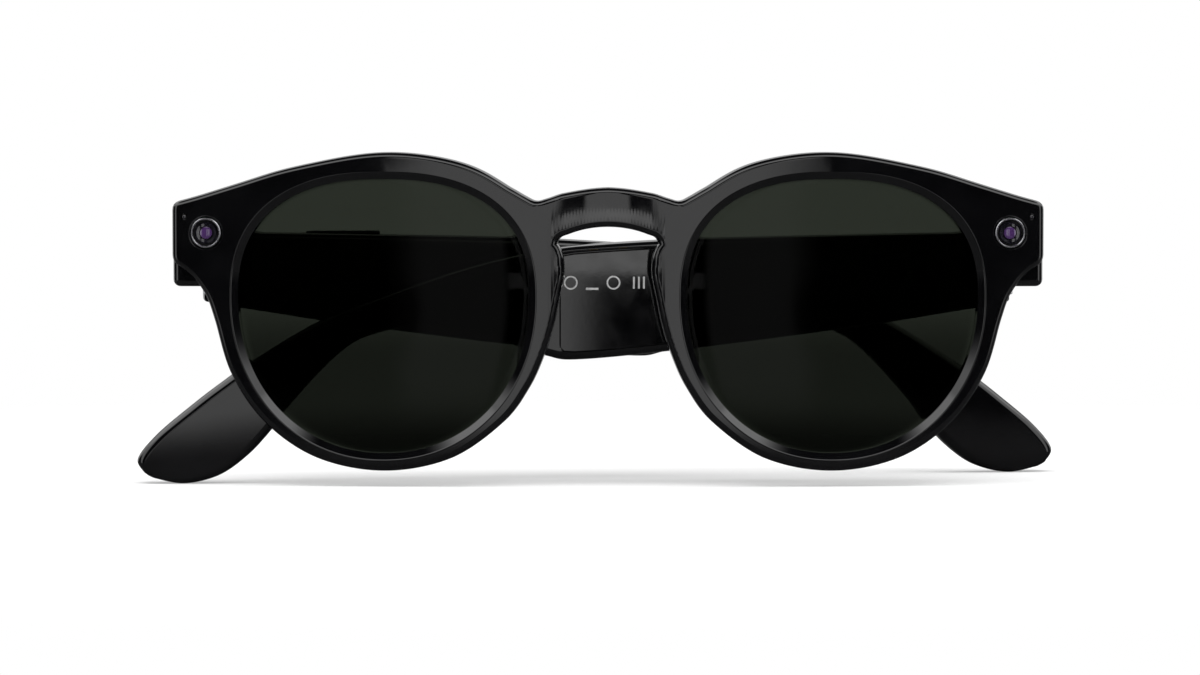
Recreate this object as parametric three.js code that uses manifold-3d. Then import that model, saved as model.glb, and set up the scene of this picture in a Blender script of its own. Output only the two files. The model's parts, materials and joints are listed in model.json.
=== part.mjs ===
// Folded smart glasses: an acetate front with two camera modules and two hinged temples that hold
// the batteries, the board, the speakers, a capture button and a power slider.
// Millimetres. +X is the wearer's left, +Y is towards the wearer, +Z is up.

import * as THREE from 'three';
import { mergeVertices } from 'three/addons/utils/BufferGeometryUtils.js';
import Module from 'manifold-3d';

const wasm = await Module();
wasm.setup();

// ---------------------------------------------------------------- driving dimensions

const GAP = 0.3; // clearance between touching pieces
const LENS_WIDTH = 48;
const LENS_HEIGHT = 45;
const LENS_WIDEST = 3; // height of the widest line over the lens centre
const LENS_TOP_POWER = 2.4; // how square the lens outline is above its widest line
const LENS_BOTTOM_POWER = 2.1;
const LENS_THICKNESS = 2;
const GROOVE_DEPTH = 0.9; // how far a lens reaches into its rim
const BRIDGE_WIDTH = 23;
const BRIDGE_TOP = 20.4;
const BRIDGE_UNDERSIDE = 14.1;
const END_REACH = 9.5; // from a lens's outer edge to the end of the front
const RIM_THICKNESS = 4.2;
const RIM_EDGE = 0.7; // rounding of the rims' outer edges
const BROW_WIDTH = 4.3;
const RIM_WIDTHS = [ // the rim's width at angles round the lens, from the temple over the bottom to the nose
  [-7, 3.85], [-25, 3.4], [-45, 3.1], [-67, 2.9], [-90, 2.8], [-113, 2.9], [-135, 3], [-150, 3.2], [-162, 3.5],
  [-172, 4],
];
const WRAP = THREE.MathUtils.degToRad(4); // each half of the front turns back by this much

const END_BLOCK_WIDTH = 8.6; // the thick part of an end piece, which carries camera and hinge
const END_BLOCK_TOP = 17.6;
const END_BLOCK_BOTTOM = 4.6;
const END_BLOCK_DEPTH = 7.4;
const END_BLOCK_ROUND = 1.2;
const POCKET_WALL = 1.5;
const POCKET_BOTTOM = 9.4;
const POCKET_FLOOR = 2.6; // material left in front of the module pocket
const COVER_THICKNESS = 1;

const CAMERA_INSET = 5.4; // from the end of the front to the camera's axis
const CAMERA_HEIGHT = 13.1;
const CAMERA_RING_RADIUS = 2.4;
const CAMERA_RING_WIDTH = 0.35;
const CAMERA_RING_DEPTH = 1.1;
const CAMERA_GLASS_THICKNESS = 0.7;
const BARREL_LENGTH = 2;
const BOARD_THICKNESS = 0.8;
const WINDOW_RADIUS = 0.4;
const WINDOW_INSET = 2;
const WINDOW_HEIGHT = 15.6;
const WINDOW_DEPTH = 1.5;
const CONTACT_RADIUS = 0.9;
const CONTACT_SPACING = 5;
const CONTACT_DEPTH = 0.8;

const PAD_RADIUS = [2.4, 4, 7]; // a nose pad's half sizes
const PAD_HEIGHT = -3;

const HINGE_INSET = 6; // from the end of the front to the hinge axis
const HINGE_CLEARANCE = 2.2; // from the end block's back to the hinge axis
const KNUCKLE_RADIUS = 1.7;
const PIN_RADIUS = 0.8;
const HINGE_BOTTOM = 3.1;
const HINGE_TOP = 11.4;
const KNUCKLE_HEIGHT = 2.6; // each of the temple leaf's two knuckles
const LEAF_THICKNESS = 1.2;
const LEAF_LENGTH = 9;
const SCREW_HEAD_RADIUS = 1.4;
const SCREW_HEAD_HEIGHT = 0.7;

const TEMPLE_LENGTH = 150;
const TIP_LENGTH = 42; // along the temple, from the ear bend to the tip
const TEMPLE_BUTT = -1.4; // the temple's front end, from the hinge axis
const HOUSING_LENGTH = 72;
const HOUSING_OUT = 5.7; // outer face, from the hinge axis
const HOUSING_IN = 1.3; // inner face, from the hinge axis
const ARM_OUT = 3.6;
const ARM_IN = 1;
const TEMPLE_WALL = 1.2;
const CAVITY_START = 3.5;
const CAVITY_STEP = 60; // the cavity is shallower from here on, because the temple grows thinner
const CAVITY_SHALLOW = 3;
const TIP_CLEARANCE = 0.8; // from the folded left temple, which lies nearest the lenses, to the rim
const RIGHT_FOLD = THREE.MathUtils.degToRad(81); // from fully open; the right temple lies over the left one

const BATTERY = { from: 28, to: 57, thickness: 3.6 };
const MAIN_BOARD = { from: 10, to: 26, side: 2.2, height: 6 };
const CHIP = { from: 12, to: 20, thickness: 1.2, inset: 0.8 };
const TOUCH_FILM_THICKNESS = 0.3;
const BUTTON = { from: 15, to: 27, side: 1.2, width: 2.4, proud: 0.5, travel: 0.4 };
const BUTTON_FLANGE = { reach: 0.8, thickness: 0.7 };
const DOME_SWITCH = { from: 18.5, to: 23.5, height: 1.6 };
const SLIDER = { from: 10, length: 3.2, bottom: 5, height: 3, travel: 2, proud: 0.3 };
const SLIDER_FLANGE = { reach: 0.9, thickness: 0.6 };
const POWER_SWITCH = { from: 8.6, to: 16.6, thickness: 2.6 };
const SPEAKER = { from: 60.8, to: 70, thickness: 2.6, height: 7 };
const GRILLE = { from: 61.6, to: 69.4, side: 0.4, width: 2 };
const MICROPHONE = { from: 5.8, to: 8.4, thickness: 1.6, bottom: 7.6, top: 10.4, port: 0.5 };
const CORE_WIRE_RADIUS = 0.7;
const CORE_WIRE_SIDE = 1.2;

// ---------------------------------------------------------------- derived places

const LENS_CENTRE = (BRIDGE_WIDTH + LENS_WIDTH) / 2;
const LENS_END = LENS_CENTRE + LENS_WIDTH / 2;
const FRONT_HALF = LENS_END + END_REACH;
const LENS_RISE = LENS_HEIGHT / 2 - LENS_WIDEST;
const LENS_DROP = LENS_HEIGHT / 2 + LENS_WIDEST;
const LENS_FRONT = (RIM_THICKNESS - LENS_THICKNESS) / 2;
const CAMERA_X = FRONT_HALF - CAMERA_INSET;
const HINGE_X = FRONT_HALF - HINGE_INSET;
const HINGE_Y = FRONT_HALF * Math.sin(WRAP) + END_BLOCK_DEPTH * Math.cos(WRAP) + HINGE_CLEARANCE;
const RIM_BACK = LENS_END * Math.sin(WRAP) + RIM_THICKNESS * Math.cos(WRAP);
const LEFT_FOLD = Math.PI / 2
  + Math.asin((HINGE_Y - ARM_IN - RIM_BACK - TIP_CLEARANCE) / (HINGE_X + LENS_END));
const BEND = TEMPLE_LENGTH - TIP_LENGTH;
const CAVITY_OUT = HOUSING_OUT - TEMPLE_WALL;
const COVER_INSIDE = COVER_THICKNESS - HOUSING_IN;
const ARM = BEND - HOUSING_LENGTH;
const TEMPLE_TOP = [
  [TEMPLE_BUTT, 13], [25, 12.6], [50, 12], [HOUSING_LENGTH, 10.4],
  [HOUSING_LENGTH + 0.4 * ARM, 7.2], [HOUSING_LENGTH + 0.72 * ARM, 3.2], [BEND + 1, -1.1],
];
const TEMPLE_BOTTOM = [
  [TEMPLE_BUTT, 1.9], [8, 0.3], [22, -1.9], [48, -5.3], [HOUSING_LENGTH - 5, -7.2],
  [HOUSING_LENGTH + 1, -6.6], [HOUSING_LENGTH + 0.25 * ARM, -4], [HOUSING_LENGTH + 0.55 * ARM, -1.9],
  [HOUSING_LENGTH + 0.8 * ARM, -3.3], [BEND - 1.5, -6.8],
];

// ---------------------------------------------------------------- materials

const finish = (color, roughness, metalness) => new THREE.MeshStandardMaterial({ color, roughness, metalness });
const FINISH = {
  acetate: () => finish(0x0b0b0c, 0.12, 0),
  lens: () => finish(0x20261f, 0.05, 0),
  steel: () => finish(0xb9babd, 0.3, 1),
  darkMetal: () => finish(0x3a3b3f, 0.35, 1),
  glass: () => finish(0x0a0a12, 0.04, 0),
  blackPlastic: () => finish(0x131315, 0.45, 0),
  board: () => finish(0x1d4a33, 0.5, 0),
  battery: () => finish(0x9a9ca0, 0.4, 0.2),
  gold: () => finish(0xc9a24a, 0.3, 1),
  film: () => finish(0x8a6a2c, 0.5, 0),
};

// ---------------------------------------------------------------- solids

/** Turns a closed three.js geometry into a solid that can be joined and cut. */
function solid(geometry) {
  const bare = geometry.clone();
  bare.deleteAttribute('normal');
  bare.deleteAttribute('uv');
  const merged = mergeVertices(bare, 1e-4);
  const mesh = new wasm.Mesh({
    numProp: 3,
    vertProperties: new Float32Array(merged.attributes.position.array),
    triVerts: new Uint32Array(merged.index.array),
  });
  return new wasm.Manifold(mesh);
}

/** Turns a solid back into a three.js geometry. */
function geometryOf(body) {
  const mesh = body.getMesh();
  const geometry = new THREE.BufferGeometry();
  geometry.setAttribute('position', new THREE.BufferAttribute(mesh.vertProperties, 3));
  geometry.setIndex(new THREE.BufferAttribute(mesh.triVerts, 1));
  return geometry;
}

/** The same geometry on the other side of the YZ plane. */
function mirrored(geometry) {
  const other = mergeVertices(geometry.clone());
  other.scale(-1, 1, 1);
  const index = other.index.array;
  for (let i = 0; i < index.length; i += 3) {
    [index[i], index[i + 1]] = [index[i + 1], index[i]];
  }
  return other;
}

const AXIS = { x: new THREE.Vector3(1, 0, 0), y: new THREE.Vector3(0, 1, 0), z: new THREE.Vector3(0, 0, 1) };

/** An outline in X and Z, extruded along Y from y0 to y1. */
function plate(shape, y0, y1, edge = 0) {
  const geometry = extruded(shape, y1 - y0, edge);
  geometry.applyMatrix4(new THREE.Matrix4().makeBasis(AXIS.x, AXIS.z, AXIS.y.clone().negate()));
  return geometry.translate(0, y1, 0);
}

/** An outline in Y and Z, extruded along X from x0 to x1. */
function flank(shape, x0, x1) {
  const geometry = extruded(shape, x1 - x0, 0);
  geometry.applyMatrix4(new THREE.Matrix4().makeBasis(AXIS.y, AXIS.z, AXIS.x));
  return geometry.translate(x0, 0, 0);
}

/** An outline extruded along its own normal, with its two rims rounded by edge. */
function extruded(shape, depth, edge) {
  return new THREE.ExtrudeGeometry(shape, {
    depth: depth - 2 * edge,
    curveSegments: 4,
    bevelEnabled: edge > 0,
    bevelThickness: edge,
    bevelSize: edge,
    bevelOffset: -edge,
    bevelSegments: 2,
  }).translate(0, 0, edge);
}

/** A box between two corners. */
function block(x0, x1, y0, y1, z0, z1) {
  return new THREE.BoxGeometry(x1 - x0, y1 - y0, z1 - z0)
    .translate((x0 + x1) / 2, (y0 + y1) / 2, (z0 + z1) / 2);
}

/** A cylinder along Y. */
function rod(radius, x, y0, y1, z, segments = 32) {
  return new THREE.CylinderGeometry(radius, radius, y1 - y0, segments).translate(x, (y0 + y1) / 2, z);
}

/** A cylinder along Z. */
function post(radius, x, y, z0, z1, segments = 24) {
  return new THREE.CylinderGeometry(radius, radius, z1 - z0, segments)
    .rotateX(Math.PI / 2).translate(x, y, (z0 + z1) / 2);
}

/** Several geometries joined to one solid. */
function joined(...geometries) {
  return geometries.map(solid).reduce((all, next) => all.add(next));
}

/** A geometry with others cut out of it. */
function cut(geometry, ...tools) {
  return geometryOf(tools.map(solid).reduce((left, tool) => left.subtract(tool), solid(geometry)));
}

/** The height of a line of points at a distance along it. */
function heightAt(line, along) {
  const next = line.findIndex(([u]) => u >= along);
  const [u0, z0] = line[Math.max(next - 1, 0)];
  const [u1, z1] = line[Math.max(next, 1)];
  return THREE.MathUtils.mapLinear(along, u0, u1, z0, z1);
}

const point = ([x, y]) => new THREE.Vector2(x, y);

// ---------------------------------------------------------------- the front

/** A point of the lens outline at an angle from +X, moved out by grow. */
function lensPoint(angle, grow) {
  const [c, s] = [Math.cos(angle), Math.sin(angle)];
  const power = s > 0 ? LENS_TOP_POWER : LENS_BOTTOM_POWER;
  const reach = s > 0 ? LENS_RISE : LENS_DROP;
  const x = (LENS_WIDTH / 2) * Math.sign(c) * Math.abs(c) ** (2 / power);
  const z = reach * Math.sign(s) * Math.abs(s) ** (2 / power);
  const normal = new THREE.Vector2(
    Math.sign(c) * Math.abs(c) ** (2 - 2 / power) / (LENS_WIDTH / 2),
    Math.sign(s) * Math.abs(s) ** (2 - 2 / power) / reach,
  ).normalize();
  return new THREE.Vector2(LENS_CENTRE + x + normal.x * grow, LENS_WIDEST + z + normal.y * grow);
}

/** The lens outline as a closed shape, moved out by grow. */
function lensShape(grow) {
  const steps = 72;
  return new THREE.Shape(
    Array.from({ length: steps }, (_, i) => lensPoint((2 * Math.PI * (i + 0.5)) / steps, grow)),
  );
}

/** The outer outline of the wearer's left half of the front, a little past the middle. */
function halfFrontShape() {
  const rad = THREE.MathUtils.degToRad;
  const side = BRIDGE_WIDTH / 2;
  const brow = [135, 115, 90, 60].map((a) => lensPoint(rad(a), BROW_WIDTH - GROOVE_DEPTH));
  const rim = RIM_WIDTHS.map(([a, width]) => lensPoint(rad(a), width - GROOVE_DEPTH));
  const shape = new THREE.Shape();
  shape.moveTo(-1, BRIDGE_TOP);
  shape.lineTo(0, BRIDGE_TOP);
  shape.splineThru([
    [side - 5.2, BRIDGE_TOP - 0.8], [side - 1.9, BRIDGE_TOP - 1.8], [side - 0.1, BRIDGE_TOP - 2.2],
    [side + 1.5, BRIDGE_TOP - 1.5],
  ].map(point).concat(brow, [[FRONT_HALF - 12.6, 21.6], [FRONT_HALF - 4.8, 19.2],
    [FRONT_HALF - 1.6, 18.3]].map(point)));
  shape.quadraticCurveTo(FRONT_HALF, 18, FRONT_HALF, 16.8);
  shape.lineTo(FRONT_HALF, 9.6);
  shape.quadraticCurveTo(FRONT_HALF, 8.3, FRONT_HALF - 1.6, 7.5);
  shape.splineThru([[FRONT_HALF - 3.3, 6.1], [FRONT_HALF - 4.8, 4.1], [FRONT_HALF - 5.7, 2.4]]
    .map(point).concat(rim, [[side - 3.9, 3.7], [side - 4.5, 6.6], [side - 4.4, 9.3]].map(point)));
  shape.quadraticCurveTo(side - 4.1, 10.6, side - 3.4, 11.4);
  shape.quadraticCurveTo(side - 3.6, 12.6, side - 4.9, BRIDGE_UNDERSIDE - 1.3);
  shape.quadraticCurveTo(side - 8, BRIDGE_UNDERSIDE, 0, BRIDGE_UNDERSIDE);
  shape.lineTo(-1, BRIDGE_UNDERSIDE);
  return shape;
}

/** The outline of the thick end block, with rounded corners. */
function endBlockShape() {
  const [right, left] = [FRONT_HALF + 0.2, FRONT_HALF + 0.2 - END_BLOCK_WIDTH];
  const [top, bottom, r] = [END_BLOCK_TOP, END_BLOCK_BOTTOM, END_BLOCK_ROUND];
  const shape = new THREE.Shape();
  shape.moveTo(left, bottom);
  shape.lineTo(right - r, bottom);
  shape.absarc(right - r, bottom + r, r, -Math.PI / 2, 0);
  shape.absarc(right - r, top - r, r, 0, Math.PI / 2);
  shape.lineTo(left, top);
  return shape;
}

const POCKET = {
  x0: FRONT_HALF - END_BLOCK_WIDTH + POCKET_WALL,
  x1: FRONT_HALF - POCKET_WALL,
  z0: POCKET_BOTTOM,
  z1: END_BLOCK_TOP - POCKET_WALL / 2,
};

/** A nose pad, a flattened egg that leans on the nasal side of the rim. */
function nosePad() {
  const [x, y, z] = PAD_RADIUS;
  return new THREE.SphereGeometry(1, 20, 12).scale(x, y, z).rotateY(-0.28).rotateZ(-0.3)
    .translate(BRIDGE_WIDTH / 2 - 1.1, RIM_THICKNESS + 0.6, PAD_HEIGHT);
}

/** The front: two rims, the bridge, the end pieces and the nose pads in one moulding. */
function frontFrame() {
  const leafSlot = block(HINGE_X - LEAF_THICKNESS / 2 - GAP, HINGE_X + LEAF_THICKNESS / 2 + GAP,
    HINGE_Y - HINGE_CLEARANCE - 5, HINGE_Y + 1, frontKnuckle.bottom - GAP, frontKnuckle.top + GAP);
  const rim = joined(
    plate(halfFrontShape(), 0, RIM_THICKNESS, RIM_EDGE),
    plate(endBlockShape(), 1, END_BLOCK_DEPTH),
    nosePad(),
  );
  const holes = [
    plate(lensShape(-GROOVE_DEPTH), -1, RIM_THICKNESS + 1),
    plate(lensShape(GAP), LENS_FRONT - GAP, LENS_FRONT + LENS_THICKNESS + GAP),
    block(POCKET.x0, POCKET.x1, POCKET_FLOOR, END_BLOCK_DEPTH + 1, POCKET.z0, POCKET.z1),
    rod(CAMERA_RING_RADIUS + GAP, CAMERA_X, -1, POCKET_FLOOR + 1, CAMERA_HEIGHT),
    rod(WINDOW_RADIUS + GAP, FRONT_HALF - WINDOW_INSET, -1, WINDOW_DEPTH + GAP, WINDOW_HEIGHT, 16),
  ];
  const half = cut(geometryOf(rim), ...holes).rotateZ(WRAP);
  const trimmed = cut(half, leafSlot, block(-40, 0, -40, 40, -60, 60));
  const contacts = [-1, 1].map((side) => rod(CONTACT_RADIUS + GAP, side * CONTACT_SPACING / 2,
    RIM_THICKNESS - CONTACT_DEPTH - GAP, RIM_THICKNESS + 2, contactHeight, 20));
  return cut(geometryOf(joined(trimmed, mirrored(trimmed))), ...contacts);
}

const contactHeight = (BRIDGE_TOP + BRIDGE_UNDERSIDE) / 2;
const frontKnuckle = {
  bottom: HINGE_BOTTOM + KNUCKLE_HEIGHT + GAP,
  top: HINGE_TOP - KNUCKLE_HEIGHT - GAP,
};

/** The pieces that sit in one half of the front, in that half's own flat frame. */
function frontPieces() {
  const glassBack = CAMERA_RING_DEPTH;
  const barrelFront = CAMERA_RING_DEPTH + GAP;
  const boardFront = barrelFront + BARREL_LENGTH + GAP;
  const cover = END_BLOCK_DEPTH - COVER_THICKNESS;
  return {
    lens: [plate(lensShape(0), LENS_FRONT, LENS_FRONT + LENS_THICKNESS), FINISH.lens],
    camera_ring: [
      cut(rod(CAMERA_RING_RADIUS, CAMERA_X, 0, CAMERA_RING_DEPTH, CAMERA_HEIGHT, 40),
        rod(CAMERA_RING_RADIUS - CAMERA_RING_WIDTH, CAMERA_X, -1, CAMERA_RING_DEPTH + 1, CAMERA_HEIGHT, 40)),
      FINISH.steel,
    ],
    camera_glass: [
      rod(CAMERA_RING_RADIUS - CAMERA_RING_WIDTH - GAP, CAMERA_X, glassBack - CAMERA_GLASS_THICKNESS,
        glassBack, CAMERA_HEIGHT),
      FINISH.glass,
    ],
    camera_barrel: [
      rod(CAMERA_RING_RADIUS, CAMERA_X, barrelFront, barrelFront + BARREL_LENGTH, CAMERA_HEIGHT),
      FINISH.blackPlastic,
    ],
    camera_board: [
      block(POCKET.x0 + GAP, POCKET.x1 - GAP, boardFront, boardFront + BOARD_THICKNESS,
        POCKET.z0 + GAP, POCKET.z1 - GAP),
      FINISH.board,
    ],
    status_window: [
      rod(WINDOW_RADIUS, FRONT_HALF - WINDOW_INSET, 0, WINDOW_DEPTH, WINDOW_HEIGHT, 16),
      FINISH.glass,
    ],
    end_cover: [
      block(POCKET.x0 + GAP, POCKET.x1 - GAP, cover, END_BLOCK_DEPTH, POCKET.z0 + GAP, POCKET.z1 - GAP),
      FINISH.blackPlastic,
    ],
  };
}

/** The hinge leaf and the pin screw that the front carries, in the front's frame. */
function hingeOnFront() {
  const { bottom, top } = frontKnuckle;
  const hole = post(PIN_RADIUS + GAP, HINGE_X, HINGE_Y, bottom - 1, top + 1);
  const leaf = joined(
    post(KNUCKLE_RADIUS, HINGE_X, HINGE_Y, bottom, top),
    block(HINGE_X - LEAF_THICKNESS / 2, HINGE_X + LEAF_THICKNESS / 2,
      HINGE_Y - HINGE_CLEARANCE - 5 + GAP, HINGE_Y, bottom, top),
  );
  const pin = joined(
    post(PIN_RADIUS, HINGE_X, HINGE_Y, HINGE_BOTTOM, HINGE_TOP + GAP + SCREW_HEAD_HEIGHT / 2),
    post(SCREW_HEAD_RADIUS, HINGE_X, HINGE_Y, HINGE_TOP + GAP, HINGE_TOP + GAP + SCREW_HEAD_HEIGHT),
  );
  return {
    hinge_front_leaf: [cut(geometryOf(leaf), hole), FINISH.steel],
    hinge_screw: [geometryOf(pin), FINISH.steel],
  };
}

// ---------------------------------------------------------------- the temples
// A temple is drawn open, with the hinge axis at its origin: +X is its outer side, +Y its tip.

/** The side outline of a temple, from its front end over the top to the tip and back. */
function templeShape() {
  const tip = [[11, -6.9], [21.3, -14.4], [26.8, -19], [29.9, -22.9], [28.2, -25.9], [22.5, -26.9],
    [17, -25.6], [12.4, -22.4], [8.5, -18.2], [5.5, -14.2]].map(([u, z]) => [BEND + u, z]);
  const back = TEMPLE_BOTTOM.slice(1).reverse();
  const [first, ...top] = TEMPLE_TOP;
  const shape = new THREE.Shape();
  shape.moveTo(...TEMPLE_BOTTOM[0]);
  shape.lineTo(...first);
  shape.splineThru([...top, ...tip, ...back, TEMPLE_BOTTOM[0]].map(point));
  return shape;
}

/** The outline of a temple from above: a thick housing that thins to a slim arm. */
function templePlanShape() {
  const end = TEMPLE_LENGTH + 10;
  const taper = [HOUSING_LENGTH - 10, HOUSING_LENGTH + 12];
  const shape = new THREE.Shape();
  shape.moveTo(-HOUSING_IN, TEMPLE_BUTT - 1);
  shape.lineTo(HOUSING_OUT, TEMPLE_BUTT - 1);
  shape.lineTo(HOUSING_OUT, taper[0]);
  shape.bezierCurveTo(HOUSING_OUT, taper[0] + 8, ARM_OUT, taper[1] - 8, ARM_OUT, taper[1]);
  shape.lineTo(ARM_OUT, end);
  shape.lineTo(-ARM_IN, end);
  shape.lineTo(-ARM_IN, taper[1]);
  shape.lineTo(-HOUSING_IN, taper[0]);
  return shape;
}

/** The cavity's side outline between two stations, kept a wall and a margin inside the housing. */
function cavityShape(from, to, margin) {
  const stations = [0, 0.25, 0.5, 0.75, 1].map((t) => THREE.MathUtils.lerp(from + margin, to - margin, t));
  const inset = TEMPLE_WALL + margin;
  const top = stations.map((u) => [u, heightAt(TEMPLE_TOP, u) - inset]);
  const bottom = stations.map((u) => [u, heightAt(TEMPLE_BOTTOM, u) + inset]).reverse();
  return new THREE.Shape([...top, ...bottom].map(point));
}

const CAVITY_END = HOUSING_LENGTH - TEMPLE_WALL;

/** The bore and the wire of a temple's core, as a rod from the cavity to the ear bend. */
function core(radius, margin) {
  const from = new THREE.Vector3(CORE_WIRE_SIDE, CAVITY_END - 1 + margin, 2.6);
  const to = new THREE.Vector3(CORE_WIRE_SIDE, HOUSING_LENGTH + 0.78 * ARM - margin, -0.2);
  const along = to.clone().sub(from);
  return new THREE.CylinderGeometry(radius, radius, along.length(), 16)
    .applyQuaternion(new THREE.Quaternion().setFromUnitVectors(AXIS.y, along.clone().normalize()))
    .translate(...from.clone().add(to).multiplyScalar(0.5));
}

/** The lowest and highest place for a box in the cavity between two stations. */
function roomFor({ from, to }) {
  const inset = TEMPLE_WALL + GAP;
  return {
    bottom: Math.max(heightAt(TEMPLE_BOTTOM, from), heightAt(TEMPLE_BOTTOM, to)) + inset,
    top: Math.min(heightAt(TEMPLE_TOP, from), heightAt(TEMPLE_TOP, to)) - inset,
  };
}

const grilleBottom = heightAt(TEMPLE_BOTTOM, (GRILLE.from + GRILLE.to) / 2);
const buttonTop = heightAt(TEMPLE_TOP, (BUTTON.from + BUTTON.to) / 2);
const flangeTop = buttonTop - TEMPLE_WALL - GAP;
const speakerBottom = heightAt(TEMPLE_BOTTOM, SPEAKER.from) + TEMPLE_WALL + GAP;

/** The shell of a temple, with the cavity, the core bore and the openings that both sides have. */
function templeShell(extraCuts) {
  const whole = solid(flank(templeShape(), -HOUSING_IN, HOUSING_OUT))
    .intersect(solid(planExtrusion()));
  return cut(geometryOf(whole),
    flank(cavityShape(CAVITY_START, CAVITY_STEP, 0), -HOUSING_IN - 1, CAVITY_OUT),
    flank(cavityShape(CAVITY_STEP - 1, CAVITY_END, 0), -HOUSING_IN - 1, CAVITY_SHALLOW),
    post(KNUCKLE_RADIUS + 0.5, 0, 0, -60, 60),
    block(-KNUCKLE_RADIUS, KNUCKLE_RADIUS + 0.5, 0, CAVITY_START + 1, HINGE_BOTTOM - GAP, HINGE_TOP + GAP),
    core(CORE_WIRE_RADIUS + GAP, 0),
    block(GRILLE.side, GRILLE.side + GRILLE.width, GRILLE.from, GRILLE.to, grilleBottom - 2,
      grilleBottom + TEMPLE_WALL + 1),
    new THREE.CylinderGeometry(MICROPHONE.port, MICROPHONE.port, 4, 12).rotateZ(Math.PI / 2)
      .translate(HOUSING_OUT, (MICROPHONE.from + MICROPHONE.to) / 2, (MICROPHONE.bottom + MICROPHONE.top) / 2),
    ...extraCuts);
}

/** The temple's outline from above, as a tall block. */
function planExtrusion() {
  return extruded(templePlanShape(), 120, 0).translate(0, 0, -60);
}

/** The cover that closes the cavity on the wearer's side. */
function templeCover(extraCuts) {
  const lid = joined(
    flank(cavityShape(CAVITY_START + LEAF_LENGTH / 9, CAVITY_STEP, GAP), -HOUSING_IN, COVER_INSIDE),
    flank(cavityShape(CAVITY_STEP - 1, CAVITY_END, GAP), -HOUSING_IN + 0.3, COVER_INSIDE),
  );
  const knuckles = post(KNUCKLE_RADIUS + 2 * GAP, 0, 0, -60, 60);
  return cut(geometryOf(lid), knuckles, ...extraCuts);
}

/** The leaf of the hinge that is fixed in the temple. */
function templeLeaf() {
  const { bottom, top } = frontKnuckle;
  const leaf = joined(
    post(KNUCKLE_RADIUS, 0, 0, HINGE_BOTTOM, HINGE_BOTTOM + KNUCKLE_HEIGHT),
    post(KNUCKLE_RADIUS, 0, 0, HINGE_TOP - KNUCKLE_HEIGHT, HINGE_TOP),
    block(GAP, GAP + LEAF_THICKNESS, 0, LEAF_LENGTH, HINGE_BOTTOM, heightAt(TEMPLE_TOP, LEAF_LENGTH) - 1.8),
  );
  return cut(geometryOf(leaf), post(KNUCKLE_RADIUS + GAP, 0, 0, bottom - GAP, top + GAP),
    post(PIN_RADIUS + GAP, 0, 0, HINGE_BOTTOM - 1, HINGE_TOP + 1));
}

/** The pieces that both temples hold. */
function templePieces() {
  const inside = COVER_INSIDE + GAP;
  const mid = { from: GRILLE.from + GAP, to: GRILLE.to - GAP };
  const cell = roomFor(BATTERY);
  return {
    hinge_temple_leaf: [templeLeaf(), FINISH.steel],
    battery: [
      block(inside, inside + BATTERY.thickness, BATTERY.from, BATTERY.to, cell.bottom, cell.top),
      FINISH.battery,
    ],
    speaker: [
      block(inside, inside + SPEAKER.thickness, SPEAKER.from, SPEAKER.to, speakerBottom,
        speakerBottom + SPEAKER.height),
      FINISH.blackPlastic,
    ],
    speaker_grille: [
      block(GRILLE.side + GAP, GRILLE.side + GRILLE.width - GAP, mid.from, mid.to, grilleBottom + 0.2,
        grilleBottom + TEMPLE_WALL - 0.2),
      FINISH.darkMetal,
    ],
    microphone: [
      block(CAVITY_OUT - GAP - MICROPHONE.thickness, CAVITY_OUT - GAP, MICROPHONE.from, MICROPHONE.to,
        MICROPHONE.bottom, MICROPHONE.top),
      FINISH.steel,
    ],
    core_wire: [core(CORE_WIRE_RADIUS, GAP), FINISH.steel],
  };
}

/** The pieces that only the right temple holds: board, touch film, capture button and its switch. */
function rightPieces() {
  const film = { out: CAVITY_OUT - GAP, in: CAVITY_OUT - GAP - TOUCH_FILM_THICKNESS };
  const cell = roomFor(BATTERY);
  const { bottom } = roomFor(MAIN_BOARD);
  const board = joined(
    block(MAIN_BOARD.side, MAIN_BOARD.side + BOARD_THICKNESS, MAIN_BOARD.from, MAIN_BOARD.to,
      bottom, bottom + MAIN_BOARD.height),
    block(MAIN_BOARD.side, MAIN_BOARD.side + BOARD_THICKNESS + CHIP.thickness, CHIP.from, CHIP.to,
      bottom + CHIP.inset, bottom + MAIN_BOARD.height - CHIP.inset),
  );
  const { reach, thickness } = BUTTON_FLANGE;
  const button = joined(
    block(BUTTON.side, BUTTON.side + BUTTON.width, BUTTON.from, BUTTON.to, flangeTop - thickness,
      buttonTop + BUTTON.proud),
    block(BUTTON.side - reach, BUTTON.side + BUTTON.width + reach, BUTTON.from - reach, BUTTON.to + reach,
      flangeTop - thickness, flangeTop),
  );
  const switchTop = flangeTop - thickness - BUTTON.travel - 0.15;
  return {
    main_board: [geometryOf(board), FINISH.board],
    touch_film: [
      block(film.in, film.out, BATTERY.from, BATTERY.to, cell.bottom, cell.top),
      FINISH.film,
    ],
    capture_button: [geometryOf(button), FINISH.darkMetal],
    capture_switch: [
      block(BUTTON.side, BUTTON.side + BUTTON.width, DOME_SWITCH.from, DOME_SWITCH.to,
        switchTop - DOME_SWITCH.height, switchTop),
      FINISH.steel,
    ],
  };
}

/** The slot in the shell's top that the capture button comes through. */
function buttonSlot() {
  return block(BUTTON.side - GAP, BUTTON.side + BUTTON.width + GAP, BUTTON.from - GAP, BUTTON.to + GAP,
    buttonTop - TEMPLE_WALL - 1, buttonTop + 2);
}

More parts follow.
